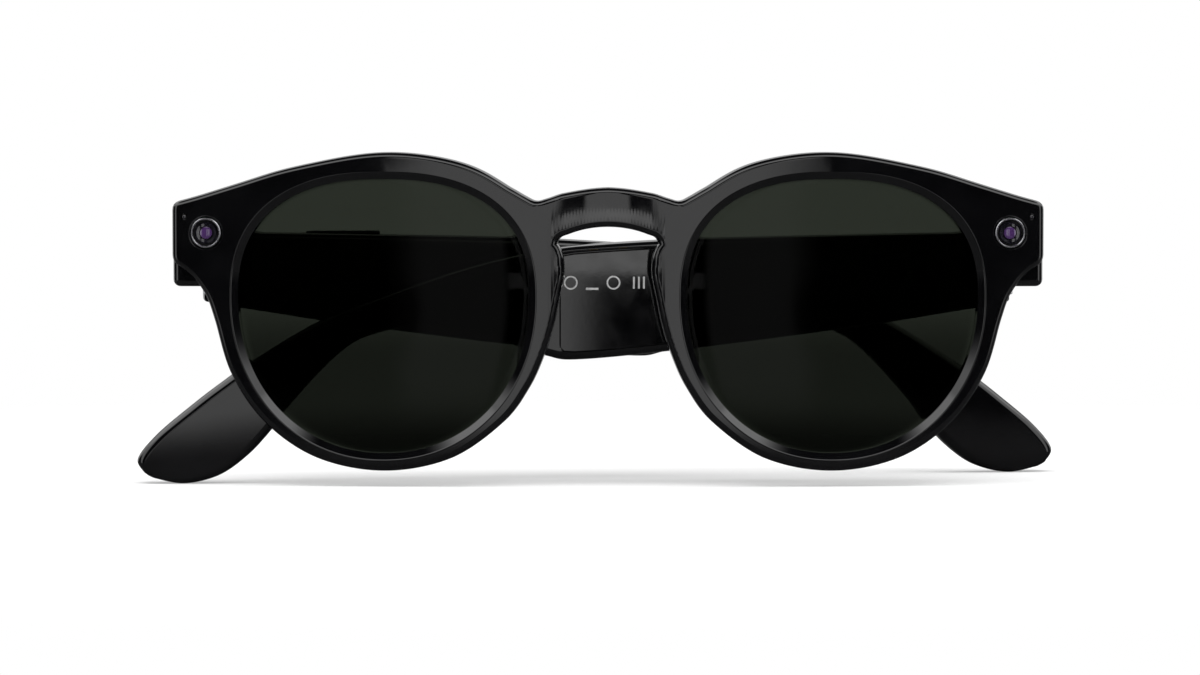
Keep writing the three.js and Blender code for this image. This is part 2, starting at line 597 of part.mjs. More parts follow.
/** The pieces that only the left temple holds: the power slider and its switch. */
function leftPieces() {
  const { reach, thickness } = SLIDER_FLANGE;
  const top = SLIDER.bottom + SLIDER.height;
  const slider = joined(
    block(-HOUSING_IN - SLIDER.proud, COVER_INSIDE + GAP + thickness, SLIDER.from,
      SLIDER.from + SLIDER.length, SLIDER.bottom, top),
    block(COVER_INSIDE + GAP, COVER_INSIDE + GAP + thickness, SLIDER.from - reach,
      SLIDER.from + SLIDER.length + reach, SLIDER.bottom - reach, top + reach),
  );
  const inside = COVER_INSIDE + 2 * GAP + thickness;
  return {
    power_slider: [geometryOf(slider), FINISH.darkMetal],
    power_switch: [
      block(Math.max(inside, LEAF_THICKNESS + 2 * GAP), inside + POWER_SWITCH.thickness,
        POWER_SWITCH.from, POWER_SWITCH.to, SLIDER.bottom - reach, top + reach),
      FINISH.steel,
    ],
  };
}

/** The slot in the left cover that the power slider moves in. */
function sliderSlot() {
  return block(-HOUSING_IN - 1, COVER_INSIDE + 1, SLIDER.from - GAP,
    SLIDER.from + SLIDER.length + SLIDER.travel + GAP, SLIDER.bottom - GAP,
    SLIDER.bottom + SLIDER.height + GAP);
}

// ---------------------------------------------------------------- assembly

/** Adds pieces to a group as named meshes, mirrored for the wearer's right side. */
function addPieces(group, pieces, sideName) {
  for (const [name, [geometry, material]] of Object.entries(pieces)) {
    const shape = sideName === 'right' ? mirrored(geometry) : geometry;
    const mesh = new THREE.Mesh(shape, material());
    mesh.name = ONE_OF_A_KIND.has(name) ? name : `${name}_${sideName}`;
    group.add(mesh);
  }
}

const ONE_OF_A_KIND = new Set([
  'main_board', 'touch_film', 'capture_button', 'capture_switch', 'power_slider', 'power_switch',
]);

const glasses = new THREE.Group();

const frame = new THREE.Mesh(frontFrame(), FINISH.acetate());
frame.name = 'front_frame';
glasses.add(frame);

for (const [sideName, side] of [['left', 1], ['right', -1]]) {
  const contact = new THREE.Mesh(
    rod(CONTACT_RADIUS, side * CONTACT_SPACING / 2, RIM_THICKNESS - CONTACT_DEPTH, RIM_THICKNESS,
      contactHeight, 20),
    FINISH.gold(),
  );
  contact.name = `charge_contact_${sideName}`;
  glasses.add(contact);

  const half = new THREE.Group();
  half.rotation.z = side * WRAP;
  addPieces(half, frontPieces(), sideName);
  glasses.add(half);
  addPieces(glasses, hingeOnFront(), sideName);

  const right = sideName === 'right';
  const temple = new THREE.Group();
  temple.position.set(side * HINGE_X, HINGE_Y, 0);
  temple.rotation.z = right ? -RIGHT_FOLD : LEFT_FOLD;
  addPieces(temple, {
    temple_shell: [templeShell(right ? [buttonSlot()] : []), FINISH.acetate],
    temple_cover: [templeCover(right ? [] : [sliderSlot()]), FINISH.acetate],
    ...templePieces(),
    ...(right ? rightPieces() : leftPieces()),
  }, sideName);
  glasses.add(temple);
}

// The origin is under the middle of the folded glasses, on the surface that they stand on.
const bounds = new THREE.Box3().setFromObject(glasses, true);
const middle = bounds.getCenter(new THREE.Vector3());
glasses.position.set(-middle.x, -middle.y, -bounds.min.z);

export default glasses;
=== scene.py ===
"""Looks of a pair of folded smart glasses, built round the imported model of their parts.

Shapes are drawn in millimetres, in the same local frames as the parts: one half of the front before it is
wrapped, and a temple that is open, with its hinge axis at the origin. They are placed in metres when they are
finished.
"""

import json
import logging
import math
from collections.abc import Callable, Iterable, Sequence
from dataclasses import dataclass, field
from enum import Enum

import bmesh
import bpy
from mathutils import Matrix, Vector

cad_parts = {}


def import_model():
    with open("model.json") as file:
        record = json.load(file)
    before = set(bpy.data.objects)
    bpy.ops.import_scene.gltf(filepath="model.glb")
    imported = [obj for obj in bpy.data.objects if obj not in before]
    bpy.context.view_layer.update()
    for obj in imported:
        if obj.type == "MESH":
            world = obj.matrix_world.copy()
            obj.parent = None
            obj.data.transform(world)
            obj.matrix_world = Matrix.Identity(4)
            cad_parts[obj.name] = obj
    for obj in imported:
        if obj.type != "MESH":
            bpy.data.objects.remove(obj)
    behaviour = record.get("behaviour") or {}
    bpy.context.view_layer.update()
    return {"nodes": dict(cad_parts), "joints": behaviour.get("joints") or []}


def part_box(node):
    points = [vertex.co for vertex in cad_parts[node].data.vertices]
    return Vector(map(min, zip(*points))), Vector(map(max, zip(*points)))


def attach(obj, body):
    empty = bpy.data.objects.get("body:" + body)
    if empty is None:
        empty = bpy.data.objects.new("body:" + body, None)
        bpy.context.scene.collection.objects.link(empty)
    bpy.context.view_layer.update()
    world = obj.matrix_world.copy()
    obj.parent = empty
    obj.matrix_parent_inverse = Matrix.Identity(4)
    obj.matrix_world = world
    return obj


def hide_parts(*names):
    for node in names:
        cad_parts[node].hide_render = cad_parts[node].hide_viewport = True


LOG = logging.getLogger("glasses")
MM = 0.001
CLOSE = 1e-4
SEAM_CLOSE = 1e-5
CUT_CLOSE = 2e-4

HALF_WIDTH = 69.0
WRAP = math.radians(4)
END_DEPTH = 7.4
AXIS_BEHIND_END = 2.2
CAMERA_X = HALF_WIDTH - 5.4
CAMERA_Z = 13.1
WINDOW_X = HALF_WIDTH - 2
WINDOW_Z = 15.6
CONTACT_X = 2.5
CONTACT_Z = 17.25

BMesh, BMEdge, BMVert = bmesh.types.BMesh, bmesh.types.BMEdge, bmesh.types.BMVert
NodeSocket, NodeTree = bpy.types.NodeSocket, bpy.types.NodeTree
Point2 = tuple[float, float]
Outline = list[Point2]


class Side(Enum):
    """The wearer's side that a piece is on, with the sign of its X."""

    LEFT = 1
    RIGHT = -1

    @property
    def label(self) -> str:
        """The side's name as the nodes spell it."""
        return self.name.lower()


class Body(Enum):
    """The bodies of the frame that pieces ride on."""

    FRONT = "front"
    LEFT_TEMPLE = "left_temple"
    RIGHT_TEMPLE = "right_temple"
    BUTTON = "capture_button"
    SLIDER = "power_slider"

    @staticmethod
    def temple(side: Side) -> "Body":
        """The temple's body on a side."""
        return Body.LEFT_TEMPLE if side is Side.LEFT else Body.RIGHT_TEMPLE


class Slot(Enum):
    """The record's material slots."""

    ACETATE = "acetate"
    LENS = "tinted_lens"
    STEEL = "steel"
    DARK_METAL = "dark_metal"
    CAMERA_GLASS = "camera_glass"
    PLASTIC = "black_plastic"
    BOARD = "circuit_board"
    FOIL = "battery_foil"
    GOLD = "gold"
    FILM = "touch_film"


# ---------------------------------------------------------------- finishes


class Shader:
    """A material with one Principled shader and the nodes that feed it.

    Args:
        name: the material's name.
    """

    def __init__(self, name: str) -> None:
        self.material = bpy.data.materials.new(name)
        self.material.use_nodes = True
        self.tree = self.material.node_tree
        self.surface = self.tree.nodes["Principled BSDF"]
        self.coordinates = self.tree.nodes.new("ShaderNodeTexCoord").outputs["Object"]

    def fixed(self, **values: float | Sequence[float]) -> None:
        """Sets sockets of the shader that are the same all over, with underscores for spaces."""
        for name, value in values.items():
            socket = self.surface.inputs[name.replace("_", " ")]
            is_colour = socket.type == "RGBA" and len(value) == 3
            socket.default_value = (*value, 1.0) if is_colour else value

    def stretched(self, scale: Sequence[float]) -> NodeSocket:
        """Object coordinates scaled by axis.

        Args:
            scale: the scale along X, Y and Z.

        Returns:
            The vector socket.
        """
        mapping = self.tree.nodes.new("ShaderNodeMapping")
        mapping.inputs["Scale"].default_value = scale
        self.tree.links.new(self.coordinates, mapping.inputs["Vector"])
        return mapping.outputs["Vector"]

    def noise(self, scale: float, detail: float = 4.0,
              stretch: Sequence[float] = (1, 1, 1)) -> NodeSocket:
        """A noise pattern on object coordinates.

        Args:
            scale: grains per metre.
            detail: octaves.
            stretch: the scale along X, Y and Z.

        Returns:
            The socket with values from 0 to 1.
        """
        node = self.tree.nodes.new("ShaderNodeTexNoise")
        node.inputs["Scale"].default_value = scale
        node.inputs["Detail"].default_value = detail
        self.tree.links.new(self.stretched(stretch), node.inputs["Vector"])
        return node.outputs["Fac"]

    def cells(self, scale: float, feature: str = "F1") -> NodeSocket:
        """A cell pattern: the distance from the nearest centre or edge.

        Args:
            scale: cells per metre.
            feature: which distance it gives.

        Returns:
            The distance socket.
        """
        node = self.tree.nodes.new("ShaderNodeTexVoronoi")
        node.feature = feature
        node.inputs["Scale"].default_value = scale
        self.tree.links.new(self.coordinates, node.inputs["Vector"])
        return node.outputs["Distance"]

    def spread(self, source: NodeSocket, low: float, high: float, start: float = 0.3,
               end: float = 0.7) -> NodeSocket:
        """Maps a pattern's middle range to a range of values.

        Args:
            source: the pattern.
            low: the value at start and below.
            high: the value at end and above.
            start: where the range starts in the pattern.
            end: where it ends.

        Returns:
            The mapped socket.
        """
        node = self.tree.nodes.new("ShaderNodeMapRange")
        for name, value in (("From Min", start), ("From Max", end), ("To Min", low), ("To Max", high)):
            node.inputs[name].default_value = value
        self.tree.links.new(source, node.inputs["Value"])
        return node.outputs["Result"]

    def tones(self, source: NodeSocket, dark: Sequence[float], light: Sequence[float]) -> None:
        """Feeds the base colour with two tones of a pattern.

        Args:
            source: the pattern.
            dark: the colour where the pattern is low.
            light: the colour where it is high.
        """
        node = self.tree.nodes.new("ShaderNodeValToRGB")
        node.color_ramp.elements[0].color = (*dark, 1)
        node.color_ramp.elements[1].color = (*light, 1)
        node.color_ramp.elements[0].position, node.color_ramp.elements[1].position = 0.3, 0.7
        self.tree.links.new(source, node.inputs["Fac"])
        self.feed("Base Color", node.outputs["Color"])

    def feed(self, socket: str, source: NodeSocket) -> None:
        """Links a pattern to a socket of the shader."""
        self.tree.links.new(source, self.surface.inputs[socket])

    def relief(self, height: NodeSocket, strength: float, depth: float) -> None:
        """Feeds the shader's normal with a bump.

        Args:
            height: the pattern of heights.
            strength: from 0 to 1.
            depth: the height of the relief in metres.
        """
        node = self.tree.nodes.new("ShaderNodeBump")
        node.inputs["Strength"].default_value = strength
        node.inputs["Distance"].default_value = depth
        self.tree.links.new(height, node.inputs["Height"])
        self.feed("Normal", node.outputs["Normal"])


@dataclass(frozen=True)
class Finish:
    """A finish with a colour in two close tones, a roughness range and a fine relief.

    Attributes:
        name: the material's name.
        dark: the darker tone.
        light: the lighter tone.
        smooth: the roughness where it is most polished.
        rough: the roughness where it is least polished.
        grain: grains per metre of the relief.
        depth: the relief's height in metres.
    """

    TONES_COARSER = 6
    POLISH_COARSER = 3
    POLISH_DETAIL = 6
    RELIEF_STRENGTH = 0.5

    name: str
    dark: tuple[float, float, float]
    light: tuple[float, float, float]
    smooth: float
    rough: float
    grain: float
    depth: float

    def dress(self, shader: Shader) -> None:
        """Adds what this kind of finish has beyond tones, roughness and relief."""

    def made(self) -> bpy.types.Material:
        """The material, made once.

        Returns:
            The material of this name.
        """
        known = bpy.data.materials.get(self.name)
        if known:
            return known
        shader = Shader(self.name)
        shader.tones(shader.noise(self.grain / self.TONES_COARSER), self.dark, self.light)
        polish = shader.noise(self.grain / self.POLISH_COARSER, self.POLISH_DETAIL)
        shader.feed("Roughness", shader.spread(polish, self.smooth, self.rough))
        shader.relief(shader.noise(self.grain), self.RELIEF_STRENGTH, self.depth)
        self.dress(shader)
        return shader.material


@dataclass(frozen=True)
class Polished(Finish):
    """Tumbled and buffed plastic under a clear polish."""

    def dress(self, shader: Shader) -> None:
        """Adds the polish."""
        shader.fixed(Coat_Weight=0.35, Coat_Roughness=0.02, IOR=1.49)


@dataclass(frozen=True)
class Brushed(Finish):
    """Metal with fine brush lines across it."""

    def dress(self, shader: Shader) -> None:
        """Makes it metal, with the grain drawn out along X."""
        shader.fixed(Metallic=1.0)
        lines = shader.noise(self.grain, detail=3, stretch=(0.05, 1, 1))
        shader.feed("Roughness", shader.spread(lines, self.smooth, self.rough))


@dataclass(frozen=True)
class Tinted(Finish):
    """A lens dyed through, which lets a little light pass and mirrors little, as a coated one does."""

    def dress(self, shader: Shader) -> None:
        """Makes it clear and keeps its tint even."""
        for link in list(shader.surface.inputs["Base Color"].links):
            shader.tree.links.remove(link)
        shader.fixed(Base_Color=self.light, Transmission_Weight=1.0, IOR=1.12)


@dataclass(frozen=True)
class Coated(Finish):
    """Optical glass over a dark barrel, with a thin coloured coating."""

    def dress(self, shader: Shader) -> None:
        """Adds the glass over the colour."""
        shader.fixed(Coat_Weight=1.0, Coat_Roughness=0.01, IOR=1.6)


@dataclass(frozen=True)
class Etched(Finish):
    """A circuit board's mask, raised over its traces."""

    def dress(self, shader: Shader) -> None:
        """Raises the traces."""
        traces = shader.spread(shader.cells(900, "DISTANCE_TO_EDGE"), 0, 1, start=0.02, end=0.08)
        shader.relief(traces, strength=0.6, depth=4e-5)


@dataclass(frozen=True)
class Crinkled(Finish):
    """Pouch foil with soft creases."""

    def dress(self, shader: Shader) -> None:
        """Makes it metal and creases it."""
        shader.fixed(Metallic=0.9)
        shader.relief(shader.cells(350), strength=0.5, depth=2e-4)


ACETATE = Polished("jet_acetate", (0.0015, 0.0015, 0.0018), (0.003, 0.003, 0.0034), 0.02, 0.05, 900, 1.2e-6)
LENS_TINT = Tinted("grey_green_lens", (0.0235, 0.0275, 0.021), (0.0235, 0.0275, 0.021), 0.0, 0.012, 300, 4e-7)
STEEL = Brushed("brushed_steel", (0.5, 0.5, 0.52), (0.62, 0.62, 0.64), 0.2, 0.34, 5000, 4e-6)
BRIGHT_RING = Brushed("turned_steel", (0.42, 0.42, 0.44), (0.5, 0.5, 0.52), 0.22, 0.32, 6000, 3e-6)
DARK_METAL = Brushed("black_metal", (0.03, 0.03, 0.033), (0.05, 0.05, 0.055), 0.28, 0.42, 4000, 5e-6)
BARREL = Coated("barrel_black", (0.004, 0.004, 0.006), (0.008, 0.007, 0.011), 0.03, 0.08, 2000, 1e-6)
PUPIL = Coated("violet_coating", (0.045, 0.018, 0.08), (0.085, 0.04, 0.14), 0.03, 0.08, 1500, 1e-6)
PLASTIC = Finish("moulded_black", (0.012, 0.012, 0.013), (0.02, 0.02, 0.022), 0.42, 0.58, 3500, 2.5e-5)
BOARD = Etched("solder_mask", (0.01, 0.08, 0.035), (0.02, 0.13, 0.06), 0.35, 0.5, 2500, 2e-5)
FOIL = Crinkled("pouch_foil", (0.42, 0.42, 0.44), (0.55, 0.55, 0.57), 0.3, 0.45, 800, 1e-4)
GOLD = Brushed("gold_plate", (0.68, 0.46, 0.15), (0.8, 0.58, 0.22), 0.16, 0.3, 5000, 3e-6)
FILM = Finish("amber_film", (0.3, 0.17, 0.04), (0.45, 0.27, 0.07), 0.3, 0.45, 1200, 1e-5)
MARKING = Finish("pad_print", (0.5, 0.5, 0.5), (0.66, 0.66, 0.66), 0.4, 0.6, 6000, 4e-6)

NODE_FINISH: dict[str, Finish] = {
    "battery": FOIL, "speaker": PLASTIC, "microphone": STEEL, "core_wire": STEEL, "camera_board": BOARD,
    "camera_barrel": PLASTIC, "main_board": BOARD, "touch_film": FILM, "capture_switch": STEEL,
    "power_switch": STEEL,
}


# ---------------------------------------------------------------- curves


def spline(points: Sequence[Point2], steps: int = 12) -> Outline:
    """A smooth line through points, with its ends held.

    Args:
        points: the points, at least two.
        steps: how many points each stretch gets.

    Returns:
        The points of the line, from the first to the last.
    """
    line: Outline = [tuple(points[0])]
    last = len(points) - 1
    for i in range(last):
        p = [Vector(points[min(max(i + k, 0), last)]) for k in (-1, 0, 1, 2)]
        start, end = (p[2] - p[0]) / 2, (p[3] - p[1]) / 2
        for step in range(1, steps + 1):
            t = step / steps
            spot = (
                (2 * p[1] - 2 * p[2] + start + end) * t**3
                + (3 * p[2] - 3 * p[1] - 2 * start - end) * t**2 + start * t + p[1]
            )
            line.append((spot.x, spot.y))
    return line


def bowed(start: Point2, control: Point2, end: Point2, steps: int = 8) -> Outline:
    """A quadratic curve without its first point.

    Args:
        start: where it starts.
        control: the point that it leans towards.
        end: where it ends.
        steps: how many points it gets.

    Returns:
        The points after the start.
    """
    a, b, c = Vector(start), Vector(control), Vector(end)
    shares = [i / steps for i in range(1, steps + 1)]
    spots = [(1 - t) ** 2 * a + 2 * (1 - t) * t * b + t * t * c for t in shares]
    return [(s.x, s.y) for s in spots]


def evenly(line: Sequence[Point2], pitch: float) -> Outline:
    """The same line with points at an even pitch.

    Args:
        line: the line.
        pitch: the distance between points, about.

    Returns:
        The new points, with the first and last kept.
    """
    spots = [Vector(p) for p in line]
    along = [0.0]
    for a, b in zip(spots, spots[1:]):
        along.append(along[-1] + (b - a).length)
    count = max(2, round(along[-1] / pitch))
    new: Outline = []
    i = 0
    for k in range(count + 1):
        goal = along[-1] * k / count
        while i < len(spots) - 2 and along[i + 1] < goal:
            i += 1
        share = (goal - along[i]) / max(along[i + 1] - along[i], 1e-9)
        spot = spots[i].lerp(spots[i + 1], min(max(share, 0.0), 1.0))
        new.append((spot.x, spot.y))
    return new


def stadium(u0: float, u1: float, v0: float, v1: float, arc: int = 12) -> Outline:
    """The outline of a slot with round ends, longer along u.

    Args:
        u0: its start.
        u1: its end.
        v0: its lower side.
        v1: its upper side.
        arc: how many points each end gets.

    Returns:
        The closed outline.
    """
    r, middle = (v1 - v0) / 2, (v0 + v1) / 2
    turn = [math.pi * i / arc for i in range(arc + 1)]
    far = [(u1 - r + r * math.sin(a), middle - r * math.cos(a)) for a in turn]
    near = [(u0 + r - r * math.sin(a), middle + r * math.cos(a)) for a in turn]
    return far + near


# ---------------------------------------------------------------- mesh tools


def ring(bm: BMesh, points: Iterable[Sequence[float]]) -> list[BMEdge]:
    """A closed loop of edges through points.

    Args:
        bm: the mesh to add to.
        points: the points in order.

    Returns:
        The loop's edges.
    """
    verts = [bm.verts.new(p) for p in points]
    return [bm.edges.new((verts[i - 1], v)) for i, v in enumerate(verts)]


def bridged(bm: BMesh, loops: Sequence[list[BMEdge]]) -> None:
    """Joins each loop of edges to the next one with faces."""
    for near, far in zip(loops, loops[1:]):
        bmesh.ops.bridge_loops(bm, edges=near + far)


def everything(bm: BMesh) -> list:
    """All points, edges and faces of a mesh."""
    return [*bm.verts, *bm.edges, *bm.faces]


def rounded(bm: BMesh, edges: Iterable[BMEdge], radius: float,
            segments: int = 4) -> None:
    """Rounds edges with the bevel operator.

    Args:
        bm: the mesh.
        edges: the edges to round.
        radius: the offset.
        segments: the steps of the rounding.
    """
    bmesh.ops.bevel(
        bm, geom=list(edges), offset=radius, segments=segments, profile=0.5, affect="EDGES", material=-1,
        clamp_overlap=False,
    )


def prism(outline: Sequence[Point2], lift: Callable[[float, float, float], Sequence[float]], low: float,
          high: float) -> BMesh:
    """An outline extruded between two levels.

    Args:
        outline: the closed outline.
        lift: turns an outline point and a level into a place.
        low: the first level.
        high: the second level.

    Returns:
        The closed mesh.
    """
    bm = bmesh.new()
    face = bm.faces.new([bm.verts.new(lift(a, b, low)) for a, b in outline])
    grown = bmesh.ops.extrude_face_region(bm, geom=[face])["geom"]
    shift = Vector(lift(0, 0, high)) - Vector(lift(0, 0, low))
    bmesh.ops.translate(bm, verts=[g for g in grown if isinstance(g, BMVert)], vec=shift)
    bmesh.ops.recalc_face_normals(bm, faces=bm.faces)
    return bm


def on_side(u: float, z: float, x: float) -> tuple[float, float, float]:
    """A place for an outline along a temple's side at a distance out."""
    return (x, u, z)


def on_top(u: float, x: float, z: float) -> tuple[float, float, float]:
    """A place for an outline along a temple's top at a height."""
    return (x, u, z)


def box(low: Sequence[float], high: Sequence[float], radius: float = 0.0,
        segments: int = 3) -> BMesh:
    """A block between two corners, with rounded edges.

    Args:
        low: the lowest corner.
        high: the highest corner.
        radius: the rounding of its edges.
        segments: the steps of the rounding.

    Returns:
        The closed mesh.
    """
    bm = bmesh.new()
    a, b = Vector(low), Vector(high)
    bmesh.ops.create_cube(bm, size=1, matrix=Matrix.Translation((a + b) / 2) @ Matrix.Diagonal((*(b - a), 1)))
    if radius:
        rounded(bm, bm.edges, radius, segments)
    return bm


def turned(profile: Sequence[Point2], segments: int = 64) -> BMesh:
    """A profile of radius and depth spun about Y.

    Args:
        profile: (radius, y) points.
        segments: the steps of the turn.

    Returns:
        The mesh, closed where the profile meets the axis.
    """
    bm = bmesh.new()
    verts = [bm.verts.new((r, y, 0)) for r, y in profile]
    edges = [bm.edges.new(pair) for pair in zip(verts, verts[1:])]
    bmesh.ops.spin(
        bm, geom=verts + edges, cent=(0, 0, 0), axis=(0, 1, 0), angle=math.tau, steps=segments, use_merge=True,
        use_duplicate=False,
    )
    bmesh.ops.remove_doubles(bm, verts=bm.verts, dist=SEAM_CLOSE)
    bmesh.ops.recalc_face_normals(bm, faces=bm.faces)
    return bm


def upright(mesh: BMesh) -> BMesh:
    """A turned mesh stood up, with its axis along Z."""
    return moved(mesh, Matrix.Rotation(math.radians(90), 4, "X"))


def moved(bm: BMesh, matrix: Matrix) -> BMesh:
    """The mesh after a transform."""
    bmesh.ops.transform(bm, matrix=matrix, verts=bm.verts)
    return bm


def merged(*parts: BMesh) -> BMesh:
    """Several meshes in one.

    Args:
        parts: the meshes, which are freed.

    Returns:
        One mesh with all their faces.
    """
    whole = bmesh.new()
    for part in parts:
        holder = bpy.data.meshes.new("holder")
        part.to_mesh(holder)
        part.free()
        whole.from_mesh(holder)
        bpy.data.meshes.remove(holder)
    return whole


def carved(body: BMesh, tools: Sequence[tuple[str, BMesh]]) -> BMesh:
    """A mesh with others joined to it or cut out of it.

    Args:
        body: the mesh to start from.
        tools: ("UNION" or "DIFFERENCE", mesh) pairs, used in order.

    Returns:
        The result.
    """

    def held(bm: BMesh, name: str) -> bpy.types.Object:
        """The mesh as an object that a modifier can use."""
        bmesh.ops.recalc_face_normals(bm, faces=bm.faces)
        mesh = bpy.data.meshes.new(name)
        bm.to_mesh(mesh)
        bm.free()
        made = bpy.data.objects.new(name, mesh)
        bpy.context.scene.collection.objects.link(made)
        return made

    blank = held(body, "blank")
    cutters = []
    for operation, tool in tools:
        cutter = held(tool, "cutter")
        modifier = blank.modifiers.new("cut", "BOOLEAN")
        modifier.operation, modifier.solver, modifier.object = operation, "EXACT", cutter
        cutters.append(cutter)
    graph = bpy.context.evaluated_depsgraph_get()
    result = bmesh.new()
    result.from_mesh(bpy.data.meshes.new_from_object(blank.evaluated_get(graph)))
    for made in (blank, *cutters):
        bpy.data.objects.remove(made)
    bmesh.ops.remove_doubles(result, verts=result.verts, dist=CUT_CLOSE)
    bmesh.ops.dissolve_degenerate(result, dist=CLOSE, edges=result.edges)
    return result


@dataclass(frozen=True)
class Tag:
    """What a finished piece is called, rides on, takes its finish from and stands for."""

    name: str
    body: Body
    slot: Slot
    replaces: tuple[str, ...] = ()

    @classmethod
    def of(cls, style: str, node: str, body: Body, slot: Slot) -> "Tag":
        """The tag of a piece that stands for one node, named after it and its style."""
        return cls(f"{style}_{node}", body, slot, (node,))


def finished(bm: BMesh, tag: Tag, matrix: Matrix, *finishes: Finish,
             sharp: float = 35.0) -> bpy.types.Object:
    """Makes a drawn mesh an object of the frame.

    Args:
        bm: the mesh in millimetres, which is freed.
        tag: its name and its place in the frame.
        matrix: from its drawing frame to the frame of the bodies.
        finishes: its finishes, by the faces' material numbers.
        sharp: the angle in degrees from which an edge is sharp.

    Returns:
        The object.
    """
    moved(bm, matrix)
    bmesh.ops.recalc_face_normals(bm, faces=bm.faces)
    mesh = bpy.data.meshes.new(tag.name)
    bm.to_mesh(mesh)
    bm.free()
    for finish in finishes:
        mesh.materials.append(finish.made())
    mesh.shade_smooth()
    mesh.set_sharp_from_angle(angle=math.radians(sharp))
    piece = bpy.data.objects.new(tag.name, mesh)
    bpy.context.scene.collection.objects.link(piece)
    weighted = piece.modifiers.new("weighted", "WEIGHTED_NORMAL")
    weighted.keep_sharp = True
    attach(piece, tag.body.value)
    if tag.replaces:
        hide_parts(*tag.replaces)
    LOG.info("%s: %d faces on %s", tag.name, len(mesh.polygons), tag.body.value)
    return piece


# ---------------------------------------------------------------- places


@dataclass(frozen=True)
class Place:
    """Where the drawing frames stand in the frame of the bodies.

    Attributes:
        origin: the middle of the front, in metres.
        hinge_x: from the middle to a hinge axis.
        hinge_y: from the front's face at the middle to a hinge axis.
        wrap: the angle that each half of the front turns back by.
        left_fold: how far the left temple is turned in.
        right_fold: how far the right temple is turned in.
    """

    origin: Vector
    hinge_x: float = 63.0
    hinge_y: float = HALF_WIDTH * math.sin(WRAP) + END_DEPTH * math.cos(WRAP) + AXIS_BEHIND_END
    wrap: float = WRAP
    left_fold: float = math.radians(91.99)
    right_fold: float = math.radians(81)

    @classmethod
    def of_frame(cls, joints: Sequence[dict]) -> "Place":
        """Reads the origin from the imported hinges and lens.

        Args:
            joints: the frame's joints.

        Returns:
            The place.
        """
        hinges = [j["pos_m"] for j in joints if j["name"].endswith("temple_hinge")]
        low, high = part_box("lens_left")
        x = sum(p[0] for p in hinges) / len(hinges)
        y = hinges[0][1] - cls.hinge_y * MM
        return cls(Vector((x, y, (low.z + high.z) / 2)))

    def front(self) -> Matrix:
        """From the front's drawing frame."""
        return Matrix.Translation(self.origin) @ Matrix.Scale(MM, 4)

    def half(self, side: Side) -> Matrix:
        """From one half's flat drawing frame."""
        return self.front() @ Matrix.Rotation(side.value * self.wrap, 4, "Z") @ self.flip(side)

    def hinge(self, side: Side) -> Matrix:
        """From a frame at a hinge axis that is square to the front."""
        return self.front() @ Matrix.Translation((side.value * self.hinge_x, self.hinge_y, 0)) @ self.flip(side)

    def temple(self, side: Side) -> Matrix:
        """From a temple's drawing frame."""
        fold = self.left_fold if side is Side.LEFT else -self.right_fold
        spot = Matrix.Translation((side.value * self.hinge_x, self.hinge_y, 0))
        return self.front() @ spot @ Matrix.Rotation(fold, 4, "Z") @ self.flip(side)

    @staticmethod
    def flip(side: Side) -> Matrix:
        """The mirror for the wearer's right side."""
        return Matrix.Scale(side.value, 4, (1, 0, 0))


# ---------------------------------------------------------------- the front


@dataclass
class LensOutline:
    """The outline of a lens: two powers of an oval that meet at its widest line."""

    half_width: float = 24.0
    rise: float = 19.5
    drop: float = 25.5
    widest: float = 3.0
    centre: float = 35.5
    top_power: float = 2.4
    bottom_power: float = 2.1
    samples: int = 720

    def at(self, angle: float, grow: float) -> Point2:
        """A point of the outline.

        Args:
            angle: from +X, in radians.
            grow: how far out of the outline it lies.

        Returns:
            Its X and Z.
        """
        c, s = math.cos(angle), math.sin(angle)
        power, reach = (self.top_power, self.rise) if s > 0 else (self.bottom_power, self.drop)
        x = self.half_width * math.copysign(abs(c) ** (2 / power), c)
        z = reach * math.copysign(abs(s) ** (2 / power), s)
        out = Vector((
            math.copysign(abs(c) ** (2 - 2 / power), c) / self.half_width,
            math.copysign(abs(s) ** (2 - 2 / power), s) / reach,
        )).normalized()
        return (self.centre + x + out.x * grow, self.widest + z + out.y * grow)

    def loop(self, grow: float, steps: int = 220) -> Outline:
        """The whole outline, moved out by grow, with points at an even pitch."""
        raw = [self.at(math.tau * (i + 0.5) / self.samples, grow) for i in range(self.samples)]
        return evenly([*raw, raw[0]], self.length(raw) / steps)[:-1]

    @staticmethod
    def length(line: Sequence[Point2]) -> float:
        """The length of a closed line."""
        return sum((Vector(a) - Vector(b)).length for a, b in zip(line, [*line[1:], line[0]]))


